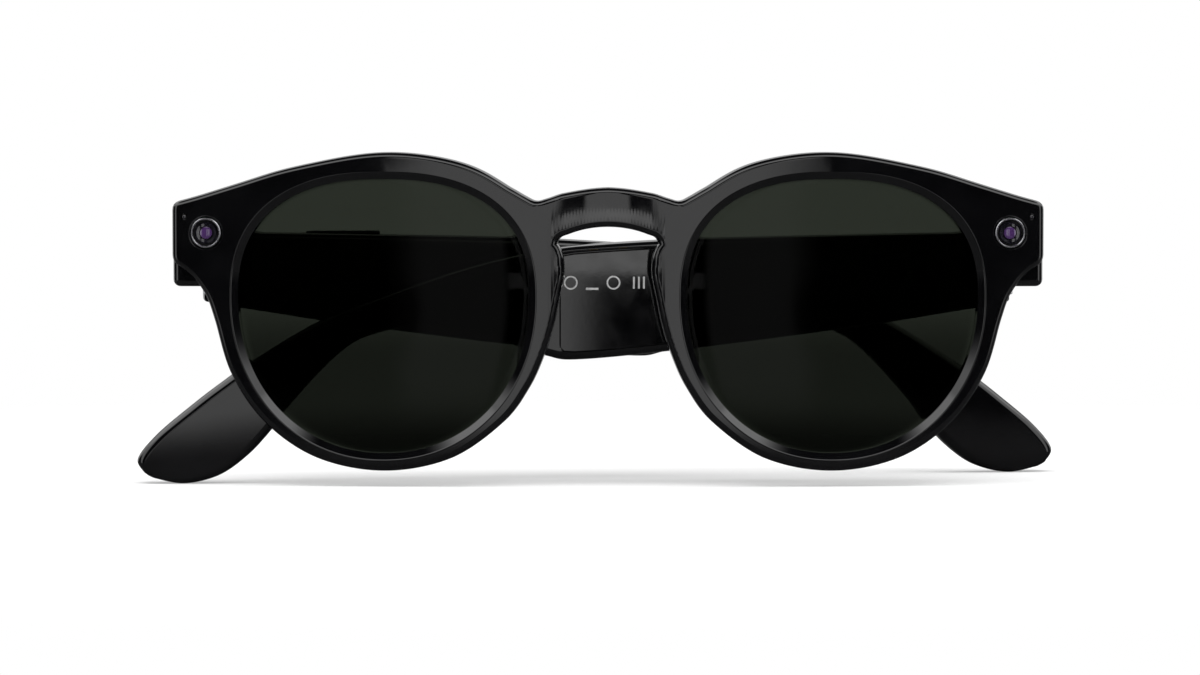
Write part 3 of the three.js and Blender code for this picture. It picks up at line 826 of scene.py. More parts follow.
@dataclass
class Front:
    """The front: two rims, the bridge, the end pieces and the nose pads."""

    place: Place
    lens: LensOutline = field(default_factory=LensOutline)
    half: float = HALF_WIDTH
    nose_side: float = 11.5
    bridge_top: float = 20.4
    bridge_underside: float = 14.1
    thickness: float = 4.2
    groove: float = 0.9
    brow: float = 4.3
    face_round: float = 1.0
    back_round: float = 0.8
    blend: float = 0.5
    pitch: float = 0.5
    blend_cuts: int = 25
    rim_widths: tuple[Point2, ...] = (
        (-7, 3.85), (-25, 3.4), (-45, 3.1), (-67, 2.9), (-90, 2.8), (-113, 2.9), (-135, 3.0), (-150, 3.2),
        (-162, 3.5), (-172, 4.0),
    )

    def outline(self) -> Outline:
        """The outer outline of one half, from past the middle over the brow and round the rim.

        Returns:
            The open outline.
        """
        h, s, g = self.half, self.nose_side, self.groove
        brow = [self.lens.at(math.radians(a), self.brow - g) for a in (135, 115, 90, 60)]
        rim = [self.lens.at(math.radians(a), width - g) for a, width in self.rim_widths]
        bridge = [(5.2 - s, 19.6), (0, self.bridge_top), (s - 5.2, 19.6), (s - 1.9, 18.6)]
        dip = [(s - 0.1, 18.2), (s + 1.5, 18.9)]
        top = [*bridge, *dip, *brow, (h - 12.6, 21.6), (h - 4.8, 19.2), (h - 1.6, 18.3)]
        line: Outline = [spot for spot in spline(top) if spot[0] > -1.2]
        line += bowed(line[-1], (h, 18), (h, 16.8)) + [(h, 9.6)]
        line += bowed(line[-1], (h, 8.3), (h - 1.6, 7.5))
        lower = [line[-1], (h - 3.3, 6.1), (h - 4.8, 4.1), (h - 5.7, 2.4), *rim, (s - 3.9, 3.7), (s - 4.5, 6.6),
                 (s - 4.4, 9.3)]
        line += spline(lower)[1:]
        line += bowed(line[-1], (s - 4.1, 10.6), (s - 3.4, 11.4))
        line += bowed(line[-1], (s - 3.6, 12.6), (s - 4.9, self.bridge_underside - 1.3))
        line += bowed(line[-1], (s - 8, self.bridge_underside), (0, self.bridge_underside))
        return line + [(-1, self.bridge_underside)]

    def eased(self, line: Outline, passes: int = 36) -> Outline:
        """The outline with its brow and the top of its bridge evened out.

        Args:
            line: the outline at an even pitch.
            passes: how often each point moves towards its neighbours.

        Returns:
            The new outline.
        """
        spots = [Vector(p) for p in line]
        lowest, bridge_end, brow_start, brow_end = 17, 7, 16, self.half - 5
        free = [i for i, p in enumerate(spots[:-1])
                if i and p.y > lowest and (p.x < bridge_end or brow_start < p.x < brow_end)]
        for _ in range(passes):
            new = {i: spots[i] / 2 + (spots[i - 1] + spots[i + 1]) / 4 for i in free}
            for i, spot in new.items():
                spots[i] = spot
        return [(p.x, p.y) for p in spots]

    def plate(self) -> BMesh:
        """One half as a flat plate with its aperture and its rounded edges, in its drawing frame.

        Returns:
            The closed mesh, which reaches about a millimetre past the middle.
        """
        bm = bmesh.new()
        line = self.eased(evenly(self.outline(), self.pitch))
        outer = [ring(bm, [(x, y, z) for x, z in line]) for y in (0.0, self.thickness)]
        t, g = self.thickness, self.groove
        steps = ((0.15, 0.0), (-g, 0.95), (-g, t - 0.35), (-0.6, t))
        holes = [ring(bm, [(x, y, z) for x, z in self.lens.loop(grow)]) for grow, y in steps]
        bridged(bm, outer)
        bridged(bm, holes)
        for outside, hole in ((outer[0], holes[0]), (outer[1], holes[-1])):
            self.cap(bm, outside, hole)
        bmesh.ops.recalc_face_normals(bm, faces=bm.faces)
        rounded(bm, holes[0], radius=0.14, segments=3)
        rounded(bm, [e for e in outer[0] if e.is_valid], self.face_round, segments=6)
        rounded(bm, [e for e in outer[1] if e.is_valid], self.back_round, segments=5)
        return bm

    @staticmethod
    def cap(bm: BMesh, outside: list[BMEdge], hole: list[BMEdge]) -> None:
        """Closes the flat between an outline and a hole with two faces that meet in two seams.

        Args:
            bm: the mesh.
            outside: the outline's edges in order.
            hole: the hole's edges in order.
        """
        def walk(edges: list[BMEdge]) -> list[BMVert]:
            """The points of a loop in order."""
            return [(set(edges[i - 1].verts) & set(e.verts)).pop() for i, e in enumerate(edges)]

        def seam(around: list[BMVert], inner: BMVert) -> int:
            """The index of the point that is nearest to an inner one."""
            return min(range(len(around)), key=lambda i: (around[i].co - inner.co).length)

        rim, well = walk(outside), walk(hole)
        top = max(range(len(well)), key=lambda i: well[i].co.z)
        bottom = min(range(len(well)), key=lambda i: well[i].co.z)
        a, b = seam(rim, well[top]), seam(rim, well[bottom])

        def stretch(verts: list[BMVert], start: int, end: int,
                    step: int) -> list[BMVert]:
            """The points from one index to another, one way round."""
            out, i = [verts[start]], start
            while i != end:
                i = (i + step) % len(verts)
                out.append(verts[i])
            return out

        outer_half = stretch(rim, a, b, 1)
        right_of = sum(v.co.x for v in outer_half) / len(outer_half) > well[top].co.x
        ways = [stretch(well, bottom, top, step) for step in (1, -1)]
        ways.sort(key=lambda w: sum(v.co.x for v in w) / len(w), reverse=right_of)
        bm.faces.new(outer_half + ways[0])
        bm.faces.new(stretch(rim, a, b, -1) + ways[1])

    def wrapped(self, bm: BMesh) -> BMesh:
        """Cuts a half off at the middle, mirrors it and turns both halves back with a soft blend.

        Args:
            bm: the flat half, which gets extra cuts near the middle so that the blend is smooth.

        Returns:
            The whole front in its drawing frame.
        """
        for i in range(self.blend_cuts):
            bmesh.ops.bisect_plane(
                bm, geom=everything(bm), plane_co=(self.pitch * i, 0, 0), plane_no=(1, 0, 0), clear_inner=i == 0,
                dist=SEAM_CLOSE,
            )
        bmesh.ops.delete(bm, geom=[e for e in bm.edges if e.is_wire], context="EDGES")
        for v in bm.verts:
            if abs(v.co.x) < CLOSE:
                v.co.x = 0
        bmesh.ops.mirror(bm, geom=everything(bm), matrix=Matrix.Identity(4), merge_dist=CLOSE, axis="X")
        c, s, t = math.cos(self.place.wrap), math.sin(self.place.wrap), math.tan(self.place.wrap)
        for v in bm.verts:
            x, y = abs(v.co.x), v.co.y
            soft = math.hypot(t * x, self.blend)
            sign = math.copysign(1, v.co.x)
            v.co.x = sign * (x * c - y * s * t * x / soft)
            v.co.y = x * s + y * c + soft - t * x
        bmesh.ops.recalc_face_normals(bm, faces=bm.faces)
        return bm

    def end_block(self) -> BMesh:
        """The thick block of an end piece, in the half's drawing frame."""
        low, high = (self.half - 8.4, 1.4, 4.6), (self.half + 0.1, END_DEPTH, 17.6)
        return box(low, high, radius=1.1, segments=5)

    def nose_pad(self) -> BMesh:
        """A nose pad, a flattened egg that leans on the rim, in the half's drawing frame."""
        bm = bmesh.new()
        bmesh.ops.create_uvsphere(bm, u_segments=40, v_segments=24, radius=1)
        splay, flare = -0.3, -0.28
        half_sizes = (2.1, 4.0, 7.0, 1)
        lean = Matrix.Rotation(splay, 4, "Z") @ Matrix.Rotation(flare, 4, "Y")
        spot = Matrix.Translation((self.nose_side + 0.5, self.thickness + 0.5, -3))
        return moved(bm, spot @ lean @ Matrix.Diagonal(half_sizes))

    def build(self) -> None:
        """Makes the front, its lenses, cameras, covers, contacts and windows."""
        body = self.wrapped(self.plate())
        tools: list[tuple[str, BMesh]] = []
        for side in Side:
            turn = Matrix.Rotation(side.value * self.place.wrap, 4, "Z") @ Place.flip(side)
            tools += [("UNION", moved(made, turn)) for made in (self.end_block(), self.nose_pad())]
            for made in (self.camera_bore(), self.window_bore(), self.pocket()):
                tools.append(("DIFFERENCE", moved(made, turn)))
            tools += [("DIFFERENCE", made) for made in (self.leaf_slot(side), self.contact_bore(side))]
        body = carved(body, tools)
        finished(body, Tag("rim_front", Body.FRONT, Slot.ACETATE, ("front_frame",)), self.place.front(), ACETATE)
        for side in Side:
            self.build_lens(side)
            self.build_contact(side)
            CameraModule(self.place, side).build()
            self.build_cover(side)
            Hinge(self.place, side).build()

    def camera_bore(self) -> BMesh:
        """The bore that the camera looks through, with a small countersink."""
        profile = [(0, -1), (2.95, -1), (2.75, 0.12), (2.55, 0.3), (2.55, 3.6), (0, 3.6)]
        return moved(turned(profile, 72), Matrix.Translation((CAMERA_X, 0, CAMERA_Z)))

    def window_bore(self) -> BMesh:
        """The bore of the status window."""
        profile = [(0, -1), (0.5, -1), (0.5, 1.8), (0, 1.8)]
        return moved(turned(profile, 32), Matrix.Translation((WINDOW_X, 0, WINDOW_Z)))

    def pocket(self) -> BMesh:
        """The pocket for the camera module, open at the back."""
        low, high = (self.half - 7.0, 2.6, 9.5), (self.half - 1.6, 8.4, 16.75)
        return box(low, high, radius=0.3, segments=2)

    def leaf_slot(self, side: Side) -> BMesh:
        """The slot that the hinge leaf sits in, in the front's drawing frame."""
        x, y = side.value * self.place.hinge_x, self.place.hinge_y
        half_width, bottom, top = 0.85, 5.7, 8.8
        return box((x - half_width, y - 7.2, bottom), (x + half_width, y + 1, top))

    def contact_bore(self, side: Side) -> BMesh:
        """The bore of a charging contact in the back of the bridge, in the front's drawing frame."""
        bore = turned([(0, 3.2), (1.1, 3.2), (1.1, 6.5), (0, 6.5)], 40)
        return moved(bore, Matrix.Translation((side.value * CONTACT_X, 0, CONTACT_Z)))

    def build_lens(self, side: Side) -> None:
        """A lens with a slight dome, held in the rim's groove."""
        bm = bmesh.new()
        dome, front, back = 0.35, 1.1, 3.1
        wide, deep, step = 0.35, 0.4, 0.02
        bevel = [(-wide, front + step), (0.0, front + deep), (0.0, back - deep), (-wide, back - step)]
        inner = [-2.0, -5.0, -9.0, -14.0, -19.0]
        rings = [(g, front - self.sag(g, dome)) for g in reversed(inner)] + bevel
        rings += [(g, back - self.sag(g, dome)) for g in inner]
        loops = [ring(bm, [(x, y, z) for x, z in self.scaled(grow)]) for grow, y in rings]
        bridged(bm, loops)
        bmesh.ops.contextual_create(bm, geom=loops[0])
        bmesh.ops.contextual_create(bm, geom=loops[-1])
        tag = Tag.of("tinted", f"lens_{side.label}", Body.FRONT, Slot.LENS)
        finished(bm, tag, self.place.half(side), LENS_TINT, sharp=60)

    def scaled(self, grow: float) -> Outline:
        """The lens outline, shrunk towards its centre where grow is far inside."""
        nearby, steps = -1, 160
        if grow > nearby:
            return self.lens.loop(grow, steps)
        share = 1 + grow / self.lens.half_width
        x0, z0 = self.lens.centre, self.lens.widest - 3
        return [(x0 + (x - x0) * share, z0 + (z - z0) * share) for x, z in self.lens.loop(0, steps)]

    def sag(self, grow: float, dome: float) -> float:
        """How far the dome stands out at a distance inside the outline."""
        share = max(0.0, 1 + grow / self.lens.half_width)
        return dome * (1 - share**2)

    def build_contact(self, side: Side) -> None:
        """A gold charging contact with a shallow dish."""
        profile = [(0, 4.05), (0.35, 4.05), (0.6, 4.17), (0.8, 4.19), (0.9, 4.1), (0.9, 3.4), (0, 3.4)]
        bm = moved(turned(profile, 40), Matrix.Translation((side.value * CONTACT_X, 0, CONTACT_Z)))
        tag = Tag.of("gold", f"charge_contact_{side.label}", Body.FRONT, Slot.GOLD)
        finished(bm, tag, self.place.front(), GOLD)

    def build_cover(self, side: Side) -> None:
        """The cover of the module pocket, with a shallow panel pressed into it."""
        low, high = (self.half - 6.85, 6.4, 9.65), (self.half - 1.75, 7.38, 16.6)
        bm = box(low, high, radius=0.22, segments=3)
        back = max(bm.faces, key=lambda f: f.calc_center_median().y)
        bmesh.ops.inset_individual(bm, faces=[back], thickness=0.7)
        bmesh.ops.inset_individual(bm, faces=[back], thickness=0.15, depth=-0.15)
        tag = Tag.of("pressed", f"end_cover_{side.label}", Body.FRONT, Slot.PLASTIC)
        finished(bm, tag, self.place.half(side), PLASTIC)


@dataclass
class CameraModule:
    """A camera's ring and glass, and the status window beside it."""

    place: Place
    side: Side
    pupil_radius: float = 0.95
    pupil_depth: float = 0.7

    def build(self) -> None:
        """Makes the ring, the glass and the window."""
        spot = self.place.half(self.side) @ Matrix.Translation((CAMERA_X, 0, CAMERA_Z))
        self.build_ring(spot)
        self.build_glass(spot)
        self.build_window()

    def build_ring(self, spot: Matrix) -> None:
        """The bright ring round the glass, with a rounded lip."""
        lip = [(2.05, 1.08), (2.05, 0.22), (2.09, 0.1), (2.18, 0.03), (2.28, 0.03), (2.37, 0.1), (2.4, 0.24),
               (2.4, 1.08), (2.05, 1.08)]
        tag = Tag.of("turned", f"camera_ring_{self.side.label}", Body.FRONT, Slot.STEEL)
        finished(turned(lip, 96), tag, spot, BRIGHT_RING)

    def build_glass(self, spot: Matrix) -> None:
        """The dark glass with stepped baffles round a violet pupil."""
        steps = [(0, 0.42), (0.35, 0.43), (0.7, 0.48), (0.93, 0.56), (0.96, 0.66), (1.08, 0.66), (1.1, 0.58),
                 (1.3, 0.56), (1.33, 0.5), (1.5, 0.48), (1.53, 0.42), (1.7, 0.42), (1.74, 0.48), (1.75, 1.08),
                 (0, 1.08)]
        bm = turned(steps, 96)
        for face in bm.faces:
            centre = face.calc_center_median()
            is_inside = math.hypot(centre.x, centre.z) < self.pupil_radius
            face.material_index = int(is_inside and centre.y < self.pupil_depth)
        tag = Tag.of("baffled", f"camera_glass_{self.side.label}", Body.FRONT, Slot.CAMERA_GLASS)
        finished(bm, tag, spot, BARREL, PUPIL)

    def build_window(self) -> None:
        """The small domed window of the status light."""
        spot = self.place.half(self.side) @ Matrix.Translation((WINDOW_X, 0, WINDOW_Z))
        dome = [(0, 0.06), (0.2, 0.08), (0.33, 0.14), (0.4, 0.26), (0.4, 1.5), (0, 1.5)]
        tag = Tag.of("domed", f"status_window_{self.side.label}", Body.FRONT, Slot.CAMERA_GLASS)
        finished(turned(dome, 32), tag, spot, BARREL)


@dataclass
class Hinge:
    """A pin hinge: the front's leaf with one knuckle, the temple's with two, and the screw."""

    place: Place
    side: Side
    radius: float = 1.7
    bottom: float = 3.1
    top: float = 11.4
    knuckle: float = 2.6
    gap: float = 0.3

    def barrel(self, low: float, high: float) -> BMesh:
        """A knuckle between two heights with rounded ends.

        Args:
            low: its lower end.
            high: its upper end.

        Returns:
            The mesh, about the hinge axis.
        """
        r, bore, ease, mid = self.radius, 1.1, 0.2, 0.06
        profile = [(bore, low), (r - ease, low), (r - mid, low + mid), (r, low + ease), (r, high - ease),
                   (r - mid, high - mid), (r - ease, high), (bore, high), (bore, low)]
        return upright(turned(profile, 56))

    def build(self) -> None:
        """Makes the two leaves and the screw."""
        low, high = self.bottom + self.knuckle + self.gap, self.top - self.knuckle - self.gap
        square = self.place.hinge(self.side)
        blade = box((-0.6, -6.85, low), (0.6, -1.2, high), radius=0.12, segments=2)
        tag = Tag.of("rolled", f"hinge_front_leaf_{self.side.label}", Body.FRONT, Slot.STEEL)
        finished(merged(self.barrel(low, high), blade), tag, square, STEEL)
        self.build_screw(square)
        pair = merged(
            self.barrel(self.bottom, self.bottom + self.knuckle), self.barrel(self.top - self.knuckle, self.top),
            box((0.3, 1.3, self.bottom), (1.5, 9, self.top - 0.4), radius=0.12, segments=2),
        )
        tag = Tag.of("rolled", f"hinge_temple_leaf_{self.side.label}", Body.temple(self.side), Slot.STEEL)
        finished(pair, tag, self.place.temple(self.side), STEEL)

    def build_screw(self, square: Matrix) -> None:
        """The pin screw with a slotted head."""
        head = self.top + self.gap
        profile = [(0, self.bottom + 0.05), (0.7, self.bottom + 0.05), (0.8, self.bottom + 0.15), (0.8, head),
                   (1.4, head), (1.4, head + 0.42), (1.3, head + 0.6), (1.05, head + 0.68), (0, head + 0.7)]
        screw = upright(turned(profile, 48))
        slot = box((-2, -0.17, head + 0.32), (2, 0.17, head + 2))
        tag = Tag.of("slotted", f"hinge_screw_{self.side.label}", Body.FRONT, Slot.STEEL)
        finished(carved(screw, [("DIFFERENCE", slot)]), tag, square, STEEL)


# ---------------------------------------------------------------- the temples


@dataclass
class Temple:
    """A temple: a thick housing that thins to a slim arm and a drooping tip, with what its faces carry.

    Attributes:
        place: the drawing frames.
        side: the wearer's side.
        stations: matched points of the top and the bottom line, each (along, height).
    """

    place: Place
    side: Side
    housing_out: float = 5.7
    housing_in: float = 1.3
    arm_out: float = 3.6
    arm_in: float = 1.0
    taper: tuple[float, float] = (62.0, 84.0)
    wall: float = 1.2
    hollow_end: float = 70.8
    grille: tuple[float, float] = (62.0, 69.0)
    stations: tuple[tuple[Point2, Point2], ...] = (
        ((-1.4, 13), (-1.4, 1.9)), ((10, 12.9), (8, 0.3)), ((25, 12.6), (22, -1.9)), ((50, 12), (48, -5.3)),
        ((66, 11.1), (67, -7.2)), ((72, 10.4), (73, -6.6)), ((80, 8.8), (81, -4)), ((88, 6.6), (91.8, -1.9)),
        ((97.9, 3.2), (100.8, -3.3)), ((109, -1.1), (106.5, -6.8)), ((119, -6.9), (113.5, -14.2)),
        ((125, -11.1), (116.5, -18.2)), ((129.3, -14.4), (120.4, -22.4)), ((134.8, -19), (125, -25.6)),
        ((137.9, -22.9), (130.5, -26.9)), ((136.8, -25.2), (135.4, -26)),
    )

    def depth(self, along: float) -> Point2:
        """The outer and inner distance from the hinge plane at a distance along the temple."""
        start, end = self.taper
        share = min(max((along - start) / (end - start), 0.0), 1.0)
        ease = share * share * (3 - 2 * share)
        return (self.housing_out + (self.arm_out - self.housing_out) * ease,
                self.housing_in + (self.arm_in - self.housing_in) * share)

    def section(self, top: Vector, bottom: Vector) -> list[Vector]:
        """A rounded section between a point of the top line and one of the bottom line.

        Args:
            top: (along, height) of the top.
            bottom: (along, height) of the bottom.

        Returns:
            The section's points in order.
        """
        out, inside = self.depth((top.x + bottom.x) / 2)
        middle, reach = (top + bottom) / 2, (top - bottom) / 2
        height, width = reach.length, (out + inside) / 2
        widest_round, by_width, by_height = 1.35, 0.42 * width * 1.4, 0.9 * height
        r = min(widest_round, by_width, by_height)
        steps = 6
        points = []
        for corner_a, corner_b, start in ((1, 1, 0), (-1, 1, 90), (-1, -1, 180), (1, -1, 270)):
            for k in range(steps + 1):
                turn = math.radians(start + 90 * k / steps)
                b = corner_a * (width - r) + r * math.cos(turn)
                a = corner_b * (height - r) + r * math.sin(turn)
                spot = middle + reach / height * a
                points.append(Vector(((out - inside) / 2 + b, spot.x, spot.y)))
        return points

    def lines(self) -> tuple[Outline, Outline]:
        """The top and bottom lines with points in step."""
        steps = 9
        return spline([t for t, _ in self.stations], steps), spline([b for _, b in self.stations], steps)

    def loft(self) -> BMesh:
        """The whole temple's outer skin as a closed mesh."""
        bm = bmesh.new()
        tops, bottoms = self.lines()
        loops = [ring(bm, self.section(Vector(t), Vector(b))) for t, b in zip(tops, bottoms)]
        bridged(bm, loops)
        bmesh.ops.contextual_create(bm, geom=loops[0])
        bmesh.ops.contextual_create(bm, geom=loops[-1])
        bmesh.ops.recalc_face_normals(bm, faces=bm.faces)
        rounded(bm, loops[0], radius=0.45, segments=4)
        rounded(bm, [e for e in loops[-1] if e.is_valid], radius=0.55, segments=4)
        return bm

    def height(self, line: Outline, along: float) -> float:
        """The height of a line at a distance along the temple."""
        for (u0, z0), (u1, z1) in zip(line, line[1:]):
            if u0 <= along <= u1:
                return z0 + (z1 - z0) * (along - u0) / max(u1 - u0, 1e-9)
        return line[0][1]

    def panel(self, start: float, end: float, margin: float) -> Outline:
        """The outline of the cavity or its cover, a wall and a margin inside the housing.

        Args:
            start: where it starts along the temple.
            end: where it ends.
            margin: how much smaller than the cavity it is.

        Returns:
            The closed outline, with cut corners.
        """
        tops, bottoms = self.lines()
        inset, corner, steps = self.wall + margin, 0.6, 30
        places = [start + margin + (end - start - 2 * margin) * i / steps for i in range(steps + 1)]
        top = [(u, self.height(tops, u) - inset) for u in places]
        bottom = [(u, self.height(bottoms, u) + inset) for u in places]
        for line, sign in ((top, -1), (bottom, 1)):
            line[0:1] = [(line[0][0], line[0][1] + sign * corner), (line[0][0] + corner, line[0][1])]
            line[-1:] = [(line[-1][0] - corner, line[-1][1]), (line[-1][0], line[-1][1] + sign * corner)]
        return top + bottom[::-1]

    @staticmethod
    def rod(radius: float) -> BMesh:
        """A long rod on the hinge axis that clears the knuckles."""
        reach = 30
        return upright(turned([(0, -reach), (radius, -reach), (radius, reach), (0, reach)], 48))

    def grille_floor(self) -> float:
        """The height of the bottom line at the middle of the grille."""
        return self.height(self.lines()[1], sum(self.grille) / 2)

    def cutters(self) -> list[BMesh]:
        """What is cut out of both temples: the cavity, the hinge notch, the port and the grille's slot."""
        knuckles = self.rod(2.2)
        port_profile = [(0, -2), (0.5, -2), (0.5, 1.15), (0.7, 1.4), (0.7, 3), (0, 3)]
        port_spot = Matrix.Translation((4.4, 7.1, 9)) @ Matrix.Rotation(math.radians(-90), 4, "Z")
        port = moved(turned(port_profile, 32), port_spot)
        floor = self.grille_floor()
        deepest = self.housing_out - self.wall - 0.2
        return [
            prism(self.panel(3.5, self.hollow_end, 0), on_side, -3, deepest),
            knuckles,
            box((-1.7, 0, 2.8), (2.2, 4.5, 11.7)),
            port,
            prism(stadium(61.6, 69.4, 0.4, 2.4), on_top, floor - 3, floor + 2.2),
        ]

    def build(self) -> None:
        """Makes the shell, the cover and what both temples carry."""
        tools = self.cutters() + self.own_cutters()
        shell = carved(self.loft(), [("DIFFERENCE", tool) for tool in tools])
        body, spot = Body.temple(self.side), self.place.temple(self.side)
        finished(shell, Tag.of("lofted", f"temple_shell_{self.side.label}", body, Slot.ACETATE), spot, ACETATE)
        self.build_cover(body, spot)
        self.build_grille(body, spot)
        self.build_own(body, spot)

    def build_cover(self, body: Body, spot: Matrix) -> None:
        """The cover on the wearer's side, with softened edges."""
        gap, thickness = 0.09, 1
        outline = self.panel(4.4, self.hollow_end, gap)
        lid = prism(outline, on_side, -self.housing_in, -self.housing_in + thickness)
        face = [e for e in lid.edges if all(abs(v.co.x + self.housing_in) < CLOSE for v in e.verts)]
        rounded(lid, face, radius=0.14, segments=3)
        tools = [self.rod(2.3), *self.cover_cutters()]
        lid = carved(lid, [("DIFFERENCE", tool) for tool in tools])
        finished(lid, Tag.of("smooth", f"temple_cover_{self.side.label}", body, Slot.ACETATE), spot, ACETATE)

    def build_grille(self, body: Body, spot: Matrix) -> None:
        """The speaker's grille, a strip with three rows of sunk square cells."""
        bm = bmesh.new()
        sizes = Matrix.Diagonal((1.5, 7.2, 1, 1))
        bmesh.ops.create_grid(bm, x_segments=3, y_segments=14, size=0.5, matrix=sizes)
        holes = bmesh.ops.inset_individual(bm, faces=list(bm.faces), thickness=0.11)["faces"]
        inner = [f for f in bm.faces if f not in set(holes)]
        bmesh.ops.inset_individual(bm, faces=inner, thickness=0.02, depth=-0.35)
        bmesh.ops.solidify(bm, geom=list(bm.faces), thickness=0.12)
        start, end = self.grille
        bottoms = self.lines()[1]
        tilt = self.height(bottoms, end) - self.height(bottoms, start)
        turn = Matrix.Rotation(math.atan2(tilt, end - start), 4, "X") @ Matrix.Scale(-1, 4, (0, 0, 1))
        moved(bm, Matrix.Translation((1.4, (start + end) / 2, self.grille_floor() + 0.35)) @ turn)
        tag = Tag.of("pierced", f"speaker_grille_{self.side.label}", body, Slot.DARK_METAL)
        finished(bm, tag, spot, DARK_METAL)

    def own_cutters(self) -> list[BMesh]:
        """What is cut out of this temple's shell only."""
        return []

    def cover_cutters(self) -> list[BMesh]:
        """What is cut out of this temple's cover only."""
        return []

    def build_own(self, body: Body, spot: Matrix) -> None:
        """Makes what only this temple carries."""


@dataclass
class RightTemple(Temple):
    """The right temple, with the capture button in its top."""

    button: tuple[float, float, float, float] = (15.0, 27.0, 1.2, 3.6)

    def top(self) -> float:
        """The height of the temple's top at the button."""
        return self.height(self.lines()[0], 21)

    def own_cutters(self) -> list[BMesh]:
        """The button's slot, with a chamfered lip."""
        u0, u1, v0, v1 = self.button
        top = self.top()
        return [
            prism(stadium(u0 - gap, u1 + gap, v0 - gap, v1 + gap), on_top, top - depth, top + 2)
            for gap, depth in ((0.2, 2.2), (0.35, 0.12))
        ]

    def build_own(self, body: Body, spot: Matrix) -> None:
        """The capture button: a long cap with round ends and a softly domed top."""
        u0, u1, v0, v1 = self.button
        flange = self.top() - self.wall - 0.3
        cap = prism(stadium(u0, u1, v0, v1), on_top, flange - 0.7, self.top() + 0.48)
        rim = [e for e in cap.edges if all(v.co.z > self.top() for v in e.verts)]
        rounded(cap, rim, radius=0.4, segments=5)
        low, high = (v0 - 0.7, u0 - 0.7, flange - 0.68), (v1 + 0.7, u1 + 0.7, flange - 0.02)
        foot = box(low, high, radius=0.1, segments=2)
        tag = Tag.of("domed", "capture_button", Body.BUTTON, Slot.DARK_METAL)
        finished(merged(cap, foot), tag, spot, DARK_METAL)


@dataclass
class LeftTemple(Temple):
    """The left temple, with the power slider and plain printed marks on its inner face."""

    slider: tuple[float, float, float, float] = (10.0, 13.2, 5.0, 8.0)
    travel: float = 2.0

    def cover_cutters(self) -> list[BMesh]:
        """The slider's slot and the shallow dish round it."""
        u0, u1, z0, z1 = self.slider
        face = -self.housing_in
        end = u1 + self.travel
        slot = stadium(u0 - 0.25, end + 0.25, z0 - 0.2, z1 + 0.2)
        dish = stadium(u0 - 1.6, end + 1.6, z0 - 1.1, z1 + 1.1, arc=16)
        return [prism(slot, on_side, face - 1, face + 2), prism(dish, on_side, face - 1, face + 0.18)]

    def build_own(self, body: Body, spot: Matrix) -> None:
        """The power slider with grip ridges, and the marks."""
        u0, u1, z0, z1 = self.slider
        face = -self.housing_in
        cap = box((face - 0.1, u0, z0), (0.55, u1, z1), radius=0.35, segments=4)
        foot = box((0.02, u0 - 0.8, z0 - 0.8), (0.58, u1 + 0.8, z1 + 0.8), radius=0.08, segments=2)
        pitch, start, end, inset = 0.62, u0 + 0.55, u0 + 0.83, 0.45
        ridges = [
            box((face - 0.28, start + pitch * i, z0 + inset), (face + 0.1, end + pitch * i, z1 - inset), 0.1, 3)
            for i in range(4)
        ]
        tag = Tag.of("ridged", "power_slider", Body.SLIDER, Slot.DARK_METAL)
        finished(merged(cap, foot, *ridges), tag, spot, DARK_METAL)
        self.build_marks(body, spot)

    def build_marks(self, body: Body, spot: Matrix) -> None:
        """A row of plain printed shapes where the gap for the nose shows the temple."""
        face, low, high = -self.housing_in, 3.9, 6.2
        proud, sunk, inset, middle, radius = face - 0.03, face + 0.02, 0.2, 5.05, 1.1
        bars = [
            box((proud, 57.2 + 0.8 * i, low + inset), (sunk, 57.5 + 0.8 * i, high - inset)) for i in range(3)
        ]
        shapes = [
            merged(*bars),
            self.printed_ring(62.2, middle, radius),
            box((proud, 64.6, low), (sunk, 66.6, low + 0.35)),
            self.printed_ring(69.0, middle, radius),
        ]
        finished(merged(*shapes), Tag("plain_marks", body, Slot.ACETATE), spot, MARKING)

    def printed_ring(self, along: float, height: float, radius: float) -> BMesh:
        """A thin printed ring on the inner face.

        Args:
            along: its centre along the temple.
            height: its centre's height.
            radius: its outer radius.

        Returns:
            The mesh.
        """
        inner, sunk, proud = radius - 0.25, -0.02, 0.03
        profile = [(inner, sunk), (radius, sunk), (radius, proud), (inner, proud), (inner, sunk)]
        spot = Matrix.Translation((-self.housing_in, along, height))
        turn = spot @ Matrix.Rotation(math.radians(90), 4, "Z")
        return moved(turned(profile, 40), turn)


# ---------------------------------------------------------------- the studio


@dataclass(frozen=True)
class Lamp:
    """A soft area lamp.

    Attributes:
        name: its name.
        spot: where it hangs, in metres.
        aim: what it points at.
        size: its width and height.
        power: its power in watts.
    """

    name: str
    spot: tuple[float, float, float]
    aim: tuple[float, float, float]
    size: Point2
    power: float


LAMPS = (
    Lamp("overhead", (0, -0.12, 0.62), (0, 0.0, 0.03), (0.9, 0.5), 5.0),
    Lamp("left_strip", (-0.75, -0.25, 0.2), (0, 0, 0.04), (0.12, 0.7), 1.6),
    Lamp("right_strip", (0.75, -0.25, 0.2), (0, 0, 0.04), (0.12, 0.7), 1.6),
)


